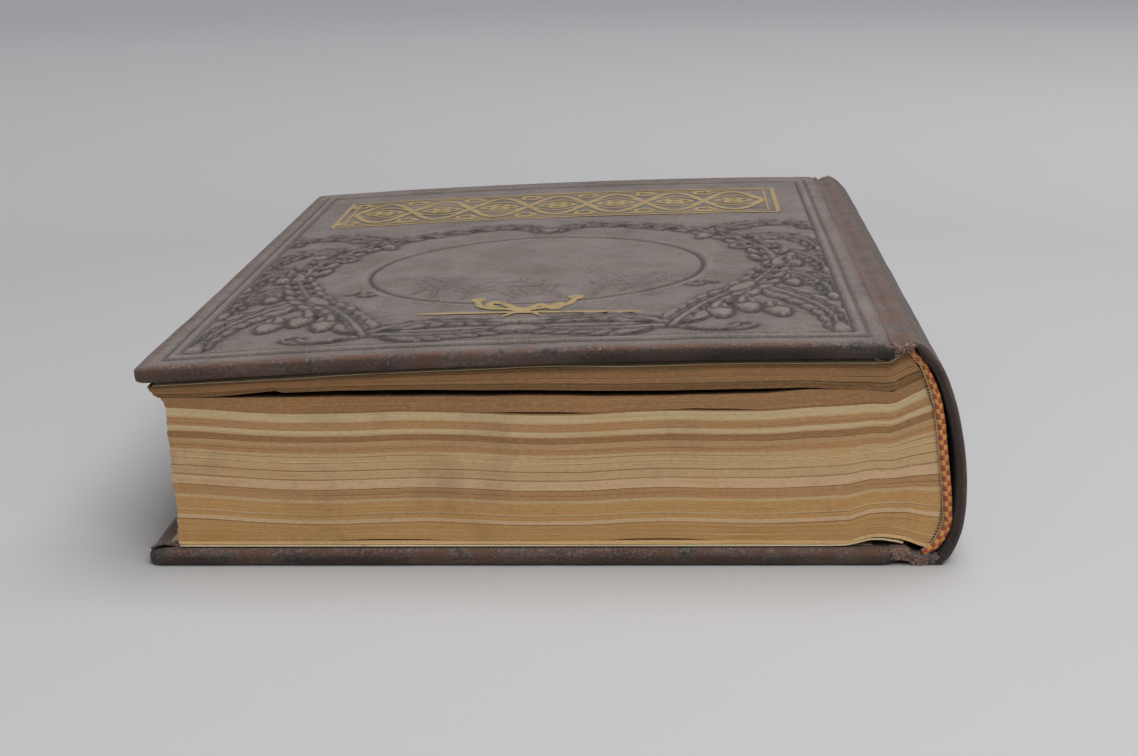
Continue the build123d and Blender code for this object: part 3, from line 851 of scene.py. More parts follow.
def cover_skin(name, place, columns, rows, tooling, shade_amount, bottom_round, belly):
    """Covering of one board: tooled panel, rounded edges and turn-ins, open towards the joint."""
    front = place is front_place
    run = np.linspace(EDGE, BOARD_WIDTH, columns)
    near = np.linspace(-PANEL_HALF, 0, int(rows * 0.6), endpoint=False)  # finer towards the tail
    y = np.concatenate([near, np.linspace(0, PANEL_HALF, rows - len(near))])
    height, crease = tooling(run, y + HEAD_Y)
    u, v = round_corners(*np.meshgrid(run, y))
    from_edge = np.minimum(u - EDGE, PANEL_HALF - np.abs(v))
    fade = ease(from_edge, 0.0, 1.5)
    uneven = unevenness(u, v)
    panel = place(u, v, -(height * fade + uneven))
    outline = tuple(panel_outline(rows, columns))
    rim_u, rim_v = u[outline], v[outline]
    steps = edge_steps(bottom_round)
    rim = cover_rim(place, rim_u, rim_v, uneven[outline], steps, belly)
    points = np.vstack([panel.reshape(-1, 3), rim.reshape(-1, 3)])
    points[:, 2] = np.maximum(points[:, 2], FLOOR_CLEARANCE)
    faces = np.vstack([grid_faces(rows, columns), grid_faces(len(rim), len(rim_u), start=u.size)])
    obj = make_mesh(name, points, faces if front else faces[:, ::-1], cover_leather)
    outer = np.arange(len(rim)) <= len(steps)
    rubbed = np.maximum(1 - ease(from_edge, 0.0, 2.2), 1 - ease(BOARD_WIDTH - u, 0.0, 2.5))
    # Raised tooling is painted lighter: partly rubbed wear, partly a painted highlight
    rub_and_highlight = np.clip(height * 1.6, 0, 1) * fade
    rim_shading = rim_shade(rim, outer, shade_amount, front)
    paint(obj, "edge", np.concatenate([rubbed.ravel(), np.repeat(outer, len(rim_u))]))
    # Painted shade: in the tooling's creases, and on the rim down the board's edge
    paint(obj, "painted_shade", np.concatenate([(crease * fade).ravel(), rim_shading.ravel()]))
    paint(obj, "raised", np.concatenate([rub_and_highlight.ravel(), np.zeros(rim_shading.size)]))
    # The surface pattern runs on over the edge
    out_u, out_v = outward(rim_u, rim_v)
    beyond = 1.2 * np.concatenate([[0], [depth for _, depth in steps], [6.0, 16.0, 17.0]])[:, None]
    across = np.concatenate([u.ravel(), (rim_u + out_u * beyond).ravel()])
    lay_uv(obj, across, np.concatenate([v.ravel(), (rim_v + out_v * beyond).ravel()]))
    return obj


def plain_tooling(run, up):
    """The back cover's blind rules."""
    relief = Relief(run, up)
    press_frame(relief)
    return relief.height, np.clip(relief.crease, 0, 1)


front_cover = cover_skin(
    "front_cover_covering", front_place, 262, 320, cover_relief, shade_amount=0.85, bottom_round=0.8, belly=0.15
)
settle(front_cover, "front_cover", "front_cover_leather")

back_cover = cover_skin(
    "back_cover_covering", back_place, 120, 170, plain_tooling, shade_amount=0.66, bottom_round=1.5, belly=0.4
)
settle(back_cover, "back_cover", "back_cover_leather")


# ---- gilt tooling

GILT_LIFT = 0.16  # above the tooling
GILT_SHARES = np.array([-1.0, -0.5, 0.0, 0.5, 1.0])  # points across half a strip's width
GILT_CROWN = np.array([0.0, 0.09, 0.11, 0.09, 0.0])  # rise of the leaf at those points


def tooled_height(run, up):
    """Height of the front cover's tooling at scattered points."""
    across = np.interp(run, TOOLED["run"], np.arange(len(TOOLED["run"])))
    along = np.interp(up, TOOLED["up"], np.arange(len(TOOLED["up"])))
    j, i = across.astype(int), along.astype(int)
    s, t = across - j, along - i
    height = TOOLED["height"]
    low = height[i, j] * (1 - s) + height[i, j + 1] * s
    return low * (1 - t) + (height[i + 1, j] * (1 - s) + height[i + 1, j + 1] * s) * t


def gilt_strips(strips):
    """Strips of leaf that follow the tooling, each a path of (aside, up) and a half width."""
    points, faces = [], []
    for path, half in strips:
        ahead = headings(path)
        side = points_at(-ahead[:, 1], ahead[:, 0]) * np.broadcast_to(half, len(path))[:, None]
        lattice = path[:, None] + side[:, None] * GILT_SHARES[:, None]
        run, up = AXIS_RUN + lattice[..., 0], lattice[..., 1]
        crown = GILT_CROWN + GILT_LIFT + np.maximum(tooled_height(run, up), 0)
        placed = front_place(run, up - HEAD_Y, -crown)
        faces.append(grid_faces(len(path), len(GILT_SHARES), start=sum(len(p) for p in points)))
        points.append(placed.reshape(-1, 3))
    return np.vstack(points), np.vstack(faces)


def rosette(centre, radius, petals, half):
    """Petal outline of a small tooled flower."""
    turn = np.linspace(0, 2 * pi, 12 * petals + 1)
    reach = radius * (0.62 + 0.38 * np.abs(np.cos(petals * turn / 2)))
    path = points_at(centre[0] + reach * np.cos(turn), centre[1] + reach * np.sin(turn))
    return path, half


BAND_LOOPS = 7  # crossings of the interlace
BAND_INSET = 4  # the interlace stands clear of the band's ends


def gilt_band():
    """Generic tooled band: ruled frame, interlaced arcs and a flower in each loop."""
    strips = []
    middle = (BAND[0] + BAND[1]) / 2
    tall = (BAND[1] - BAND[0]) / 2 - 3
    for inset, half in ((0.0, 0.75), (3.0, 0.35)):
        wide, high = BAND_HALF - inset, tall - inset
        for sign in (-1, 1):
            y = middle + sign * high
            strips.append((curve([(-wide, y), (0, y), (wide, y)], 60), half))
            x = sign * wide
            strips.append((curve([(x, middle - high), (x, middle), (x, middle + high)], 20), half))
    end = BAND_HALF - BAND_INSET
    pitch = 2 * end / BAND_LOOPS
    x = np.linspace(-end, end, 170)
    for phase in (0, pi):
        for scale, half in ((1.0, 1.15), (0.55, 0.6)):
            wave = (tall - 6) * scale * np.sin(pi * (x + end) / pitch + phase)
            strips.append((points_at(x, middle + wave), half))
    for index in range(BAND_LOOPS):
        centre = (-end + pitch * (index + 0.5), middle)
        strips.append(rosette(centre, 5.6, 4, 0.9))
        strips.append(rosette(centre, 2.4, 8, 0.9))
        for sign in (-1, 1):
            tip = (centre[0] - pitch / 2, middle + sign * (tall - 7))
            strips.append(rosette(tip, 3.4, 5, 0.8))
    return strips


def gilt_bow():
    """Reed laid across the foot of the medallion, tied with a ribbon bow."""
    reed = curve([(-27, 41.5), (-12, 40.5), (4, 39.0), (18, 37.6), (30, 36.4)], 50)
    strips = [(reed, np.interp(np.linspace(0, 1, 50), [0, 0.1, 0.9, 1], [0.3, 1.0, 0.9, 0.25]))]
    knot = (0.0, 42.0)
    for sign, lift in ((-1, 1.0), (1, 0.8)):
        loop = [knot, (sign * 4, 47), (sign * 8, 50 * lift + 2), (sign * 9, 48), (sign * 5, 44), knot]
        strips.append((curve(loop, 44), 1.0))
        tail = [knot, (sign * 4, 44), (sign * 8, 44.5), (sign * 11.5, 48), (sign * 12.5, 54)]
        strips.append((curve(tail, 26), np.linspace(1.1, 0.8, 26)))
        strips.append(rosette((sign * 12.5, 55), 1.5, 1, 1.0))
        strips.append((curve([knot, (sign * 3, 38), (sign * 5, 34.5)], 14), np.linspace(1.1, 0.3, 14)))
    strips.append((curve([(-2.4, 40.5), (0, 42.4), (2.6, 43.2)], 10), 1.6))
    return strips


for name, strips in (("gilt_band", gilt_band()), ("gilt_bow", gilt_bow())):
    settle(make_mesh(name, *gilt_strips(strips), gold_leaf), "front_cover")


# ---- corner fold


def corner_fold():
    """Turned-in corner of the back cover, lifting off the board beside a dark pleat."""
    t, w = np.meshgrid(np.linspace(0, 1, 20), np.linspace(0, 1, 9))
    x = FORE_X + 0.5 + 6.6 * t
    y = -HEAD_Y + 0.9 + 2.2 * t + w * (4.5 + 2.5 * t)
    z = COVER_DEPTH + 1.35 * np.sin(pi * np.clip(0.15 + 0.85 * t, 0, 1)) * (1 - ease(w, 0.0, 1.0)) + 0.04
    z = z + 0.1 * noise(x, y, 1.5, 15)
    obj = make_mesh("corner_fold", points_at(x, y, z).reshape(-1, 3), grid_faces(*t.shape), cover_leather)
    lay_uv(obj, x, y)
    paint_plain(obj, 1 - ease(w, 0.0, 0.4).ravel())
    give_thickness(obj, 0.55)
    return obj


settle(corner_fold(), "back_cover")


# ---- spine


def spine_rows():
    """Stations from inside the tail cap round to inside the head cap: (share of depth, y)."""
    fold = [(1.0, TURN_IN)] + [(1.0 - t, 0.9 * (1 - sin(pi * t))) for t in np.linspace(0, 1, 9)]
    tail = [(share, inset - HEAD_Y) for share, inset in fold]
    back = [(0.0, y) for y in np.linspace(2.5 - HEAD_Y, HEAD_Y - 2.5, 90)]
    return tail + back + [(share, -y) for share, y in tail[::-1]]


def spine_covering():
    """Rounded back with thick caps where the covering folds over the stiffener."""
    angles = np.linspace(0, 180, 120)
    turns = [0, 22, 46, 79, 84, 90, 95, 99, 122, 152, 168, 180]
    thick = np.interp(angles, turns, [1.1, 1.5, 2.35, 2.4, 2.4, 2.45, 2.45, 2.4, 2.45, 2.3, 1.7, 1.2])
    outer = np.array([spine_point(a, 0) for a in angles])
    inner = np.array([spine_point(a, t) for a, t in zip(angles, thick)])
    normal = outer - inner
    normal /= np.linalg.norm(normal, axis=1, keepdims=True)
    along = walked(outer)
    rows = spine_rows()
    run = walked([(y, share * SPINE_CLOTH) for share, y in rows])
    lattice, rub, shade = [], [], []
    for share, y in rows:
        lift = 0.10 * noise(along, y, 14, 21) + 0.05 * noise(along, y, 4, 22)
        spot = outer + (inner - outer) * share + normal * (lift * (1 - share) - 0.12)[:, None]
        fray = 0.25 * noise(along, share * 3, 3, 23) * (0.0 < share < 1.0)
        lattice.append(points_at(spot[:, 0], y + fray, spot[:, 1]))
        near_end = 1 - ease(HEAD_Y - abs(y), 0.8, 3.5) if share < 0.5 else 0.6 * (share < 0.95)
        rub.append(np.maximum(near_end, 1 - ease(angles, 4, 20)))
        shade.append(0.0 if share == 0 else 0.8 + 0.3 * (share > 0.9))
    points = np.array(lattice).reshape(-1, 3)
    points[:, 2] = np.maximum(points[:, 2], FLOOR_CLEARANCE)
    obj = make_mesh("spine_covering", points, grid_faces(len(rows), len(angles)), spine_leather)
    lay_uv(obj, np.tile(along, len(rows)), np.repeat(run, len(angles)))
    paint_plain(obj, np.array(rub).ravel(), np.repeat(shade, len(angles)))
    return obj


settle(spine_covering(), "book_block", "spine_leather")


# ---- the joints

FRONT_HINGE_Z = THICKNESS - 0.4  # height of the front cover's hinge line
BACK_HINGE_X, BACK_HINGE_Z = 88.2, 2.2  # the back cover's hinge line
JOINT_RUB = 0.9


def strip_mesh(name, upper, lower, y):
    """Closed strip between an upper and a lower line, each given for every y."""
    upper, lower = np.asarray(upper), np.asarray(lower)
    ring = np.concatenate([upper, lower[:, ::-1]], 1)
    count = ring.shape[1]
    points = points_at(ring[..., 0], np.repeat(y[:, None], count, 1), ring[..., 1])
    faces = grid_faces(len(y), count, True).tolist()
    faces += [list(range(count))[::-1], list(range((len(y) - 1) * count, len(y) * count))]
    obj = make_mesh(name, points.reshape(-1, 3), faces, cover_leather)
    lay_uv(obj, np.tile(np.arange(count) * 0.35, len(y)), np.repeat(y, count))
    paint_plain(obj, JOINT_RUB)
    return obj


def front_joint():
    """Covering from the front board over the groove to the spine's crest."""
    y = np.linspace(-HEAD_Y + 0.2, HEAD_Y - 0.2, 200)
    t = np.linspace(0, 1, 26)
    crest = np.array([spine_point(a, 0) for a in np.linspace(0, 20, 12)])
    x = JOINT_X - 0.9 + (crest[-2, 0] - JOINT_X + 0.9) * t
    over = np.interp(x, [JOINT_X - 2, *crest[:, 0]], [THICKNESS, *crest[:, 1]])
    upper, lower = [], []
    for place in y:
        worn = 1 - ease(HEAD_Y - abs(place), 2, 12)
        dip = (0.5 + 0.1 * noise(place, 0, 12, 31)) * bump(x, JOINT_X + 1.4, 1.1)
        dip = dip + worn * 0.75 * bump(x, JOINT_X + 0.4, 0.95)
        rough = (0.06 + 0.12 * worn) * noise(x, place * 1.7, 0.8, 32)
        z = over - dip + rough * np.sin(pi * t)
        upper.append(points_at(x, z))
        folded = np.interp(x, [x[0], JOINT_X, JOINT_X + 0.9, CREST_X, x[-1]], [3.2, 2.6, 1.3, 1.3, 0.6])
        plain = np.interp(x, [x[0], JOINT_X, CREST_X, x[-1]], [0.35, 0.9, 1.2, 0.6])
        lower.append(points_at(x, z - plain - (folded - plain) * worn))
    return strip_mesh("front_joint_covering", upper, lower, y), upper[0], lower[0]


def fringe(name, upper, lower, reach, rows, seed):
    """Bared weave of the covering on a joint's worn ends: wavy rows, cross threads and loose ends."""
    rng = np.random.default_rng(seed)
    paths = []
    for sign in (-1, 1):
        x = np.linspace(upper[2, 0], reach, 110)
        top, base = np.interp(x, *upper.T), np.interp(x, *lower.T)
        for share in np.linspace(0.08, 0.92, rows):
            swing = 2 * pi * x / 1.15 + rng.uniform(0, 6)
            z = base + (top - base) * share + 0.13 * np.sin(swing)
            y = sign * (HEAD_Y - 0.22 + 0.2 * np.cos(swing) + 0.1 * noise(x, share * 9, 1.2, seed))
            keep = slice(rng.integers(0, 20), 110 - rng.integers(0, 30))
            paths.append(points_at(x, y, z)[keep])
        for _ in range(34 * rows):
            at, share = rng.integers(0, 108), rng.uniform(0, 1)
            start = np.array([x[at], sign * (HEAD_Y - 0.15), base[at] + (top[at] - base[at]) * share])
            ahead = rng.normal(0, 1, 3) * (0.28, 0.18, 0.3) + (0, sign * 0.15, 0)
            t = np.linspace(0, 1, 5)[:, None]
            paths.append(start + ahead * t + rng.normal(0, 0.16, 3) * t**2)
    for path in paths:
        path[:, 2] = np.maximum(path[:, 2], THREAD_CLEARANCE)
    return tubes(name, paths, 0.1, fray_thread, 4)


front_strip, upper_end, lower_end = front_joint()
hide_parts("front_joint_leather")
front_fringe = fringe("front_joint_fringe", upper_end, lower_end, CREST_X + 0.6, 4, 91)
for piece in (front_strip, front_fringe):
    span_joint(piece, JOINT_X, CREST_X + 0.2, FRONT_HINGE_Z)


def back_joint():
    """Covering from the back board to the spine's foot: thick, frayed folds at head and tail."""
    tail = np.linspace(-HEAD_Y + 0.4, -HEAD_Y + 16, 34)
    y = np.concatenate([tail, np.linspace(-HEAD_Y + 20, HEAD_Y - 20, 60), -tail[::-1]])
    x = JOINT_X + np.concatenate([np.linspace(-0.8, 6.5, 30), np.linspace(6.8, 12.2, 12)])
    knots = JOINT_X + np.array([-0.8, 0.2, 1.8, 3.6, 4.6, 5.4, 7.4, 9.4, 12.2])
    # Heights at the knots: top of the folds at the ends, their underside, and top of the plain strip
    folded = np.array([3.6, 4.3, 4.35, 4.1, 3.2, 2.4, 2.15, 2.3, 2.2])
    raised = np.array([0.9, 1.1, 1.3, 1.2, 0.7, 0.1, 0.03, 0.03, 0.2])
    plain = np.array([1.0, 1.2, 1.5, 1.3, 1.2, 1.1, 1.1, 1.1, 1.2])
    upper, lower = [], []
    for place in y:
        fold = 1 - ease(HEAD_Y - abs(place), 5.0, 13.0)
        top = np.interp(x, knots, folded * fold + plain * (1 - fold))
        top = top + fold * 0.25 * noise(x, place * 1.6, 0.9, 41) + 0.08 * noise(x, place, 2.5, 42)
        base = np.interp(x, knots, raised) * (0.35 + 0.65 * fold) + 0.06 * noise(x, place, 2, 43) ** 2
        upper.append(points_at(x, top))
        lower.append(points_at(x, base))
    return strip_mesh("back_joint_covering", upper, lower, y), upper[0], lower[0]


back_strip, upper_end, lower_end = back_joint()
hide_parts("back_joint_leather")
back_fringe = fringe("back_joint_fringe", upper_end, lower_end, BACK_HINGE_X - 0.2, 6, 92)
for piece in (back_strip, back_fringe):
    span_joint(piece, JOINT_X, BACK_HINGE_X, BACK_HINGE_Z)


# ---- text block

# Heights along the fore-edge name the leaves: seams, tones and gapes are given by them
MAIN = (4.5, 41.0)  # main stack
LOOSE = (42.6, 48.6)  # loose gathering above the slit
SEAMS = (5.4, 7.0, 10.7, 13.0, 18.1, 19.4, 21.75, 24.0, 26.0, 27.4, 29.2, 31.0, 34.6, 38.4)
LOOSE_SEAMS = (44.2, 45.6, 47.2)
SEAM_GAP = 0.09
LEAF_LENGTH, LEAF_WIDTH = 245, 180  # nominal, for the surface pattern round the stack
CLIMB_FROM, CLIMB = 40, 2.2  # leaves above this height climb by so much towards the spine


def block_base(x):
    """Underside of the leaves: flat on the board, lifted beside the joint."""
    return np.interp(x, [70, 72.5, 75, 78.5, 83, 87, 92], [4.5, 5.5, 6.2, 6.2, 5.5, 4.0, 2.8])


SLIT = (
    # x, top of the main stack, height of the gap above it
    (-95, 40.9, 0.05), (-84, 40.9, 0.05), (-76, 40.9, 0.45), (-63.8, 40.9, 1.7), (-63.0, 40.9, 1.15),
    (-50, 41.0, 1.5), (-30, 41.0, 1.6), (3, 40.8, 1.3), (38, 40.9, 1.25), (50, 41.4, 1.05), (60, 42.2, 0.45),
    (67, 42.1, 0.05), (74, 41.9, 0.05), (79.3, 41.4, 0.05), (84.8, 44.2, 0.05), (90, 46.6, 0.05),
)


def slit_floor(x):
    """Top of the main stack, under the loose gathering."""
    stops, floor, _ = zip(*SLIT)
    return np.interp(x, stops, floor)


def slit_roof(x):
    """Underside of the loose gathering, whose lowest leaves are torn off towards the fore-edge."""
    stops, _, gap = zip(*SLIT)
    return slit_floor(x) + np.interp(x, stops, gap)


def block_roof(x):
    """Top of the loose gathering, under the flyleaf."""
    run = np.clip(np.asarray(x) - FORE_X, 0, RUN)
    under = front_place(run, 0.0, BLOCK_FACE + 0.1)[..., 2]
    sag = 0.75 + 0.2 * noise(x, 0, 22, 53)
    return under - sag + np.interp(x, [74, 77, 78.5, 80, 81.5, CREST_X], [0.0, 0.1, 0.2, 1.2, 2.5, 3.1])


def leaf_wave(x, y, share):
    """Waviness of the leaves, least where they lie on the board and under the slit."""
    swing = -1.3 + 1.3 * (np.abs(x) / 88) ** 3 + 0.4 * np.cos(2 * pi * (x + 30) / 58)
    swing = swing + 0.35 * noise(x, y, 60, 51) * ease(y, -PAGE_Y, -PAGE_Y + 60)
    swing = swing + 0.12 * noise(x, share * 36.0, 9, 52)
    return swing * ease(share, 0.02, 0.2) * (1 - ease(share, 0.93, 1.0))


def spine_edge(z):
    """Where the backed leaves end towards the spine."""
    angles = np.linspace(46, 101, 60)
    turns = [46, 69, 75, 80, 84, 88, 92, 95, 101]
    depth = np.interp(angles, turns, [3.9, 4.6, 5.3, 6.0, 6.2, 5.9, 5.2, 4.7, 4.2])
    line = np.array([spine_point(a, d) for a, d in zip(angles, depth)])
    heights = np.concatenate([[2.6, 4.0, 5.6, 7.3], line[::-1, 1], [THICKNESS - 2.2]])
    reach = np.concatenate([[86.2, 88.0, 89.4, 90.8], line[::-1, 0], [CREST_X + 0.1]])
    return np.interp(z, heights, reach) - 0.8 * bump(z, 47.6, 0.9)


def fore_edge(z):
    """Where the leaves end towards the fore-edge: nearly upright, then slipped outwards."""
    heights = (4, 17, 26, 38, 39.5, 41, 42.6, 45, 48)
    return np.interp(z, heights, (-90, -90, -90.4, -90.6, -91.0, -91.6, -92.3, -93.6, -94.8))


# Where a seam gapes: its height, middle, half width and opening
GAPES = ((38.4, -2.0, 10.0, 0.45), (38.4, 38.0, 8.0, 0.35), (5.4, 25.0, 10.0, 0.5), (5.4, -38.0, 11.0, 0.4))


def gape(x, level):
    """How far leaves above a seam are lifted where it gapes, and how open the seam is there."""
    lift, opened = np.zeros_like(x), np.zeros_like(x)
    for seam, middle, half, height in GAPES:
        lens = np.exp(-(((x - middle) / half) ** 4))
        if level > seam + 0.04:
            lift = lift + height * lens * np.exp((seam - level) / 4)
        if abs(level - seam) < 0.12:
            opened = np.maximum(opened, lens)
    return lift, opened


def leaf_levels(span, seams, seed, coarse):
    """Levels of leaf groups, with a hairline gap at each seam between gatherings."""
    rng = np.random.default_rng(seed)
    stops = [span[0]]
    for seam in [*seams, span[1]]:
        while stops[-1] < seam - coarse * 1.2:
            stops.append(stops[-1] + rng.uniform(0.7, 1.3) * coarse)
        stops[-1] = seam
        if seam < span[1]:
            stops.append(seam + SEAM_GAP)
    return stops


def ledges(levels, rng):
    """Two rings for each leaf group: (level, slip out of line, groove where it is a gap, index)."""
    rings = []
    shelf = 0.0
    for index, (start, end) in enumerate(zip(levels, levels[1:])):
        groove = 0.0
        if end - start < SEAM_GAP + 0.03:
            groove = rng.uniform(0.15, 0.6)
        elif rng.random() < 0.22:
            shelf = rng.uniform(-0.045, 0.045)
        slip = shelf + rng.uniform(-0.015, 0.015)
        rings += [(start, slip, groove, index), (end, slip, groove, index)]
    return rings


ALONG, DEEP = 84, 44  # points along a stack's tail and along its fore-edge


def cap_patch(ring):
    """Surface spanned by a ring's four sides, as a lattice."""
    ring = np.vstack([ring, ring[:1]])
    tail, spine_side = ring[: ALONG + 1], ring[ALONG : ALONG + DEEP + 1]
    head, fore = ring[ALONG + DEEP : 2 * ALONG + DEEP + 1][::-1], ring[2 * ALONG + DEEP :][::-1]
    s, t = np.linspace(0, 1, ALONG + 1)[None, :, None], np.linspace(0, 1, DEEP + 1)[:, None, None]
    patch = (1 - t) * tail[None] + t * head[None] + (1 - s) * fore[:, None] + s * spine_side[:, None]
    near = (1 - s) * tail[0] + s * tail[-1]
    return patch - (1 - t) * near - t * ((1 - s) * head[0] + s * head[-1])


def round_stack():
    """Points round a stack: shares of its width and length, masks of its sides, distance walked."""
    u = np.linspace(0, 1, ALONG, endpoint=False)
    w = np.linspace(0, 1, DEEP, endpoint=False)
    side_x = np.concatenate([u, np.ones(DEEP), 1 - u, np.zeros(DEEP)])
    side_y = np.concatenate([np.zeros(ALONG), w, np.ones(ALONG), 1 - w])
    masks = np.repeat(np.eye(4), (ALONG, DEEP, ALONG, DEEP), axis=1)
    walk = (u * LEAF_WIDTH, w * LEAF_LENGTH, u * LEAF_WIDTH, w * LEAF_LENGTH)
    offsets = (0, LEAF_WIDTH, LEAF_WIDTH + LEAF_LENGTH, 2 * LEAF_WIDTH + LEAF_LENGTH)
    return side_x, side_y, masks, np.concatenate([side + offset for side, offset in zip(walk, offsets)])


def stack_ring(ledge, share, low, high, seed, waviness):
    """One ring of points round a stack, `share` of the way up it."""
    level, slip, groove, index = ledge
    side_x, side_y, (at_tail, at_spine, at_head, at_fore), _ = round_stack()
    left, right = fore_edge(level), spine_edge(level if level < CLIMB_FROM else level + CLIMB)
    ragged = 0.28 * noise(side_y * 250, index * 0.8, 16, seed + 1)
    ragged = ragged + 0.2 * noise(side_y * 250, index * 3, 5, seed + 2)
    x = left + (right - left) * side_x + np.where(side_x < 0.5, ragged + slip, 0) * (1 - side_x)
    trim = slip * 0.7 + 0.1 * noise(side_x * 180, index * 0.7, 20, seed + 3)
    gap = 0.35 + 1.1 * noise(side_x * 180 + side_y * 240, index * 1.7, 26, seed + 4)
    inset = groove * np.clip(gap, 0, 1)
    x = x + at_fore * inset - at_spine * 0.3 * inset
    y = (side_y * 2 - 1) * (PAGE_Y - 0.25) + (at_tail - at_head) * (inset - trim)
    z = low(x) + (high(x) - low(x)) * share + waviness * leaf_wave(x, y, share)
    bend = np.interp(level, [4, 11, 20, 30, 41, 50], [-0.2, 0.0, 0.3, 0.4, 0.0, 0.0])
    lift, opened = gape(x, level)
    z = z + bend * ease(x, right - 9.5, right - 0.5) + lift * np.clip(1 - 12 * side_y, 0, 1)
    return points_at(x, y + at_tail * 1.2 * opened * (groove > 0), z)


def stack(name, levels, low, high, seed, waviness):
    """Leaves between two surfaces as rings of ledges, capped above and below."""
    rings = ledges(levels, np.random.default_rng(seed))
    heights = np.array([level for level, *_ in rings])
    shares = (heights - levels[0]) / (levels[-1] - levels[0])
    lattice = [stack_ring(ring, share, low, high, seed, waviness) for ring, share in zip(rings, shares)]
    wall = np.vstack(lattice)
    caps = [cap_patch(lattice[end]).reshape(-1, 3) for end in (0, -1)]
    starts = (len(wall), len(wall) + len(caps[0]))
    under, top = (grid_faces(DEEP + 1, ALONG + 1, start=start) for start in starts)
    faces = np.vstack([grid_faces(len(lattice), len(lattice[0]), True), under[:, ::-1], top])
    obj = make_mesh(name, np.vstack([wall, *caps]), faces, page_paper, rounded=False)
    walk = round_stack()[-1]
    across = np.concatenate([np.tile(walk, len(rings)), *(cap[:, 0] for cap in caps)])
    # The caps take the top band's colour: painted shade for the slit between the stacks
    up = np.concatenate([np.repeat(heights, len(walk)), np.full(2 * len(caps[0]), STACK_TOP)])
    lay_uv(obj, across, up)
    return obj


main_stack = stack("page_block", leaf_levels(MAIN, SEAMS, 61, 0.36), block_base, slit_floor, 62, 1.0)
settle(main_stack, "book_block", "text_block")

loose_levels = leaf_levels(LOOSE, LOOSE_SEAMS, 63, 0.3)
settle(stack("loose_gathering", loose_levels, slit_roof, block_roof, 64, 0.0), "book_block")


# ---- endpapers


def sheet_mesh(name, points):
    """Thin sheet of paper from a lattice of points."""
    rows, columns = points.shape[:2]
    obj = make_mesh(name, points.reshape(-1, 3), grid_faces(rows, columns), endpaper)
    give_thickness(obj, 0.16, offset=0.0)
    lay_uv(obj, points[..., 0], points[..., 1])
    return obj


def front_flyleaf_sheet():
    """First free leaf: over the pages and up the shoulder to the joint."""
    x = np.concatenate([np.linspace(-93.4, 74, 80), np.linspace(75, CREST_X - 0.3, 16)])
    y = np.linspace(-PAGE_Y - 0.3, PAGE_Y + 0.3, 60)
    xx, yy = np.meshgrid(x, y)
    z = block_roof(xx) + 0.2 + 0.3 * np.clip(noise(xx, yy, 24, 71), 0, 1) * (1 - ease(xx, 70, 76))
    ends = 1 - ease(PAGE_Y - np.abs(yy), 0, 5)
    yy = yy + ends * 0.25 * noise(xx, yy, 6, 72)
    return sheet_mesh("front_flyleaf_sheet", points_at(xx, yy, z))


settle(front_flyleaf_sheet(), "book_block", "front_flyleaf")


def back_flyleaf_sheet():
    """Last leaf, torn in the joint, with its torn edge curling up under the pages."""
    x = np.concatenate([np.linspace(-89.6, 60, 60), np.linspace(61, 84, 26)])
    y = np.linspace(-PAGE_Y - 0.4, PAGE_Y + 0.2, 90)
    xx, yy = np.meshgrid(x, y)
    lift = np.interp(xx, [62, 69, 72.5, 75, 78.5, 82, 86], [0, 0.1, 1.0, 1.75, 1.8, 1.25, 0.1])
    z = FLYLEAF_FACE - 0.05 + lift * (0.92 + 0.08 * noise(yy, 0, 9, 73))
    z = z + 0.06 * noise(xx, yy, 8, 74) * ease(xx, 55, 70)
    tear = ease(xx, 70, 84)
    xx = xx + tear * (0.9 * noise(yy, 0, 4, 75) - 1.0 + 0.6 * noise(yy, 0, 14, 76))
    return sheet_mesh("back_flyleaf_sheet", points_at(xx, yy, z))


settle(back_flyleaf_sheet(), "book_block", "back_flyleaf")


def hinge_paper():
    """Endpaper in the front joint, from the pastedown round the board's edge to the shoulder."""
    y = np.linspace(-PAGE_Y + 0.2, PAGE_Y - 0.2, 90)
    base = front_place(RUN - 5.0, 0.0, COVER_DEPTH + PASTE + 0.02)
    beside = ((-2.6, 4.85), (-0.9, 5.0), (0.6, 3.8), (2.1, 2.3))  # from the joint, below the crest
    route = [(JOINT_X + out, THICKNESS - drop) for out, drop in beside]
    line = curve([(base[0], base[2]), *route, (CREST_X + 0.1, THICKNESS - 1.5)], 26)
    xx, yy = np.meshgrid(line[:, 0], y)
    zz = np.tile(line[:, 1], (len(y), 1)) + 0.05 * noise(xx, yy, 5, 77)
    return sheet_mesh("front_hinge_paper", points_at(xx, yy, zz))


front_paper = hinge_paper()
span_joint(front_paper, JOINT_X - 0.5, CREST_X + 0.2, FRONT_HINGE_Z)


# ---- headbands


BEAD_TWIST = 0.9  # length of one twist of the bead thread


def headband_line():
    """Path of a headband from crest to foot, its left-hand side, half width and distance walked."""
    angles = (8, 24, 38, 52, 71, 76, 81, 86, 91, 95, 99, 106)
    depth = (2.5, 2.9, 3.1, 3.4, 3.9, 4.4, 4.9, 4.9, 4.4, 3.9, 3.6, 3.7)
    route = [(CREST_X - 0.7, THICKNESS - 1.9)] + [spine_point(a, d) for a, d in zip(angles, depth)]
    route += [(90.3, 4.9), (88.4, 3.3), (87.0, 2.5)]
    path = curve(route, 330)
    share = np.linspace(0, 1, len(path))
    size = np.interp(share, [0, 0.12, 0.25, 0.9, 1.0], [0.6, 0.8, 1.05, 1.1, 0.8])
    ahead = np.gradient(path, axis=0)
    step = np.hypot(*ahead.T)
    side = points_at(-ahead[:, 1], ahead[:, 0]) / step[:, None]
    return path, side, size, np.concatenate([[0], np.cumsum(step[1:])])


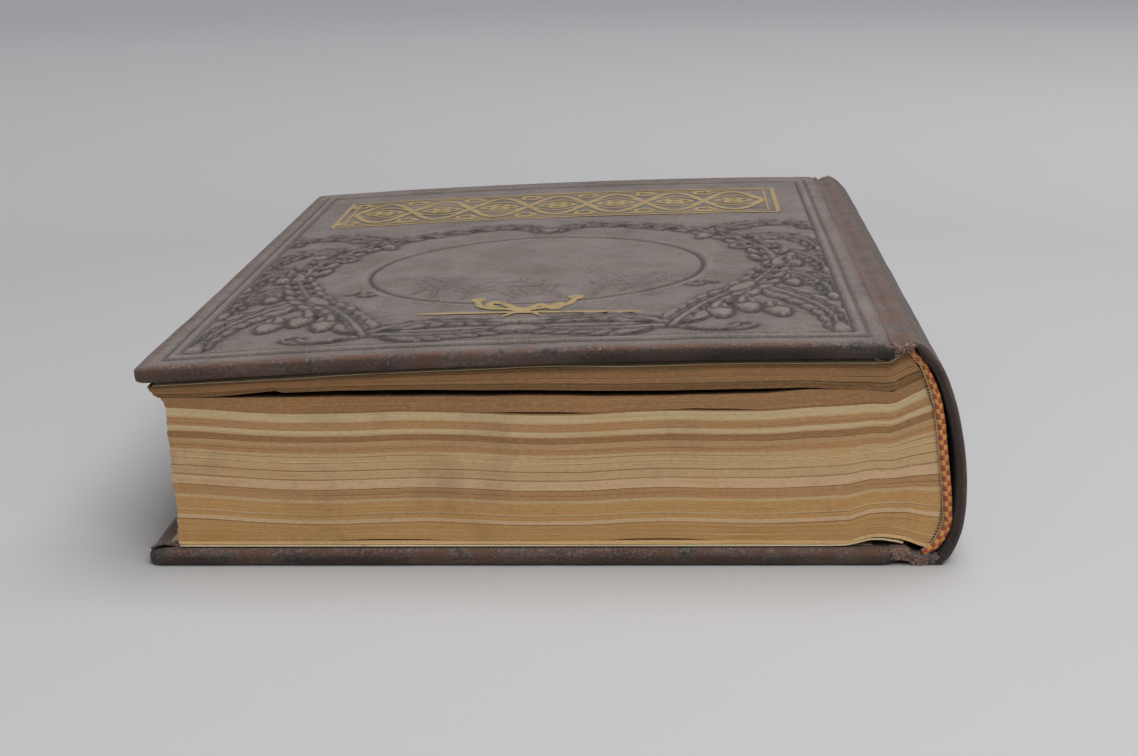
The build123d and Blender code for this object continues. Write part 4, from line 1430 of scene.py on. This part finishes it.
def headband_weave(name, sign):
    """Two rows of stitches wound over a cord."""
    path, side, size, along = headband_line()
    turn = np.linspace(-0.3 * pi, 1.3 * pi, 25)
    row = 1.0 + (turn - 0.5 * pi) / (0.55 * pi)
    stitch = np.abs(np.sin(pi * along / HEADBAND_STITCH))[:, None] ** 0.6
    rib = np.abs(np.sin(pi * row))[None, :] ** 0.6
    reach = size[:, None] * (0.84 + 0.16 * stitch * rib)
    place = path[:, None] + side[:, None] * (np.cos(turn) * reach)[..., None]
    y = sign * (PAGE_Y + 0.15 + np.sin(turn)[None, :] * reach * 1.15)
    points = points_at(place[..., 0], y, place[..., 1]).reshape(-1, 3)
    faces = grid_faces(len(path), len(turn))
    obj = make_mesh(name, points, faces if sign > 0 else faces[:, ::-1], headband_silk)
    lay_uv(obj, np.repeat(along, len(turn)), np.tile(row, len(path)))
    return obj


def headband_bead(name, sign):
    """Pale thread twisted along the page side of the band."""
    path, side, size, along = headband_line()
    t, share = np.linspace(0, 1, 700), np.linspace(0, 1, len(path))
    wound = points_at(*(np.interp(t, share, column) for column in path.T))
    out = points_at(*(np.interp(t, share, column) for column in side.T))
    twist = 2 * pi * t * along[-1] / BEAD_TWIST
    inner = wound - out * (np.interp(t, share, size) + 0.05 + 0.09 * np.cos(twist))[:, None]
    level = sign * (PAGE_Y + 0.35 + 0.09 * np.sin(twist))
    return tubes(name, [points_at(inner[:, 0], level, inner[:, 1])], 0.16, bead_thread, 6)


for name, sign in (("headband_tail", -1), ("headband_head", 1)):
    settle(headband_weave(name + "_weave", sign), "book_block", name)
    settle(headband_bead(name + "_bead", sign), "book_block")


# ---- floor, light, camera

floor_grey = Finish("studio_floor", 0.75, **{"Specular IOR Level": 0.2})
mottle = floor_grey.noise(floor_grey.place(), 1.3, 2.0)
from_middle = floor_grey.node("ShaderNodeVectorMath", {0: floor_grey.place()}, operation="LENGTH")
# Painted light: the floor is made lighter away from the middle, where less lamp light reaches
far = floor_grey.band(from_middle.outputs["Value"], 0.35, 1.4)
table_tone = floor_grey.mix(mottle, srgb(170, 170, 172), srgb(175, 175, 176))
floor_material = floor_grey.finish(floor_grey.mix(far, table_tone, srgb(230, 230, 233)))


FLOOR_SIDES = 96


def studio_floor():
    """Table that curves up all round into a plain backdrop."""
    path = curve([(1, 0), (900, 0), (1500, 0), (2100, 60), (2700, 380), (3000, 1000), (3100, 1800)], 60)
    reach, rise = path[:, :1], np.maximum(path[:, 1:], 0)
    turn = np.linspace(0, 2 * pi, FLOOR_SIDES, endpoint=False)[None]
    points = points_at(reach * np.cos(turn), reach * np.sin(turn), rise)
    faces = grid_faces(len(path), FLOOR_SIDES, True)
    return make_mesh("studio_floor", points.reshape(-1, 3), faces, floor_material)


floor = studio_floor()

world = bpy.data.worlds.new("soft_room")
world.use_nodes = True
room = world.node_tree.nodes["Background"].inputs
room["Color"].default_value = (0.97, 0.98, 1.0, 1.0)
room["Strength"].default_value = 0.31
bpy.context.scene.world = world


def area_light(name, place, target, size, power, colour):
    """Soft box that faces its target. Places are in metres."""
    data = bpy.data.lights.new(name, "AREA")
    data.shape = "RECTANGLE"
    data.size, data.size_y = size
    data.energy = power
    data.color = colour
    obj = bpy.data.objects.new(name, data)
    obj.location = place
    obj.rotation_euler = (Vector(target) - Vector(place)).to_track_quat("-Z", "Y").to_euler()
    bpy.context.collection.objects.link(obj)


area_light("overhead", (0.33, 0.08, 1.15), (0.08, 0.05, 0), (1.1, 0.9), 12.4, (1.0, 0.99, 0.98))
area_light("front_fill", (0.3, -0.85, 0.9), (0.05, -0.05, 0.02), (0.8, 0.6), 8.0, (1.0, 0.98, 0.95))

bpy.context.scene.view_settings.view_transform = "Standard"

# Camera: nearly level with the book, a little right of its middle
CAMERA = (28.4, -564.0, 159.6)
YAW, PITCH, ROLL = -0.054, 0.253, -0.019
FOCAL = 62.3

camera_data = bpy.data.cameras.new("camera")
camera_data.sensor_width = 36.0
camera_data.lens = FOCAL
camera_data.clip_start = 0.01
camera_data.clip_end = 20.0
forward = Vector((sin(YAW) * cos(PITCH), cos(YAW) * cos(PITCH), -sin(PITCH)))
right = Vector((cos(YAW), -sin(YAW), 0.0))
upward = right.cross(forward)
rolled_right = right * cos(ROLL) + upward * sin(ROLL)
rolled_up = upward * cos(ROLL) - right * sin(ROLL)
camera = bpy.data.objects.new("camera", camera_data)
pose = Matrix((rolled_right, rolled_up, -forward)).transposed().to_4x4()
pose.translation = Vector(CAMERA) * MM
camera.matrix_world = pose
bpy.context.collection.objects.link(camera)
bpy.context.scene.camera = camera
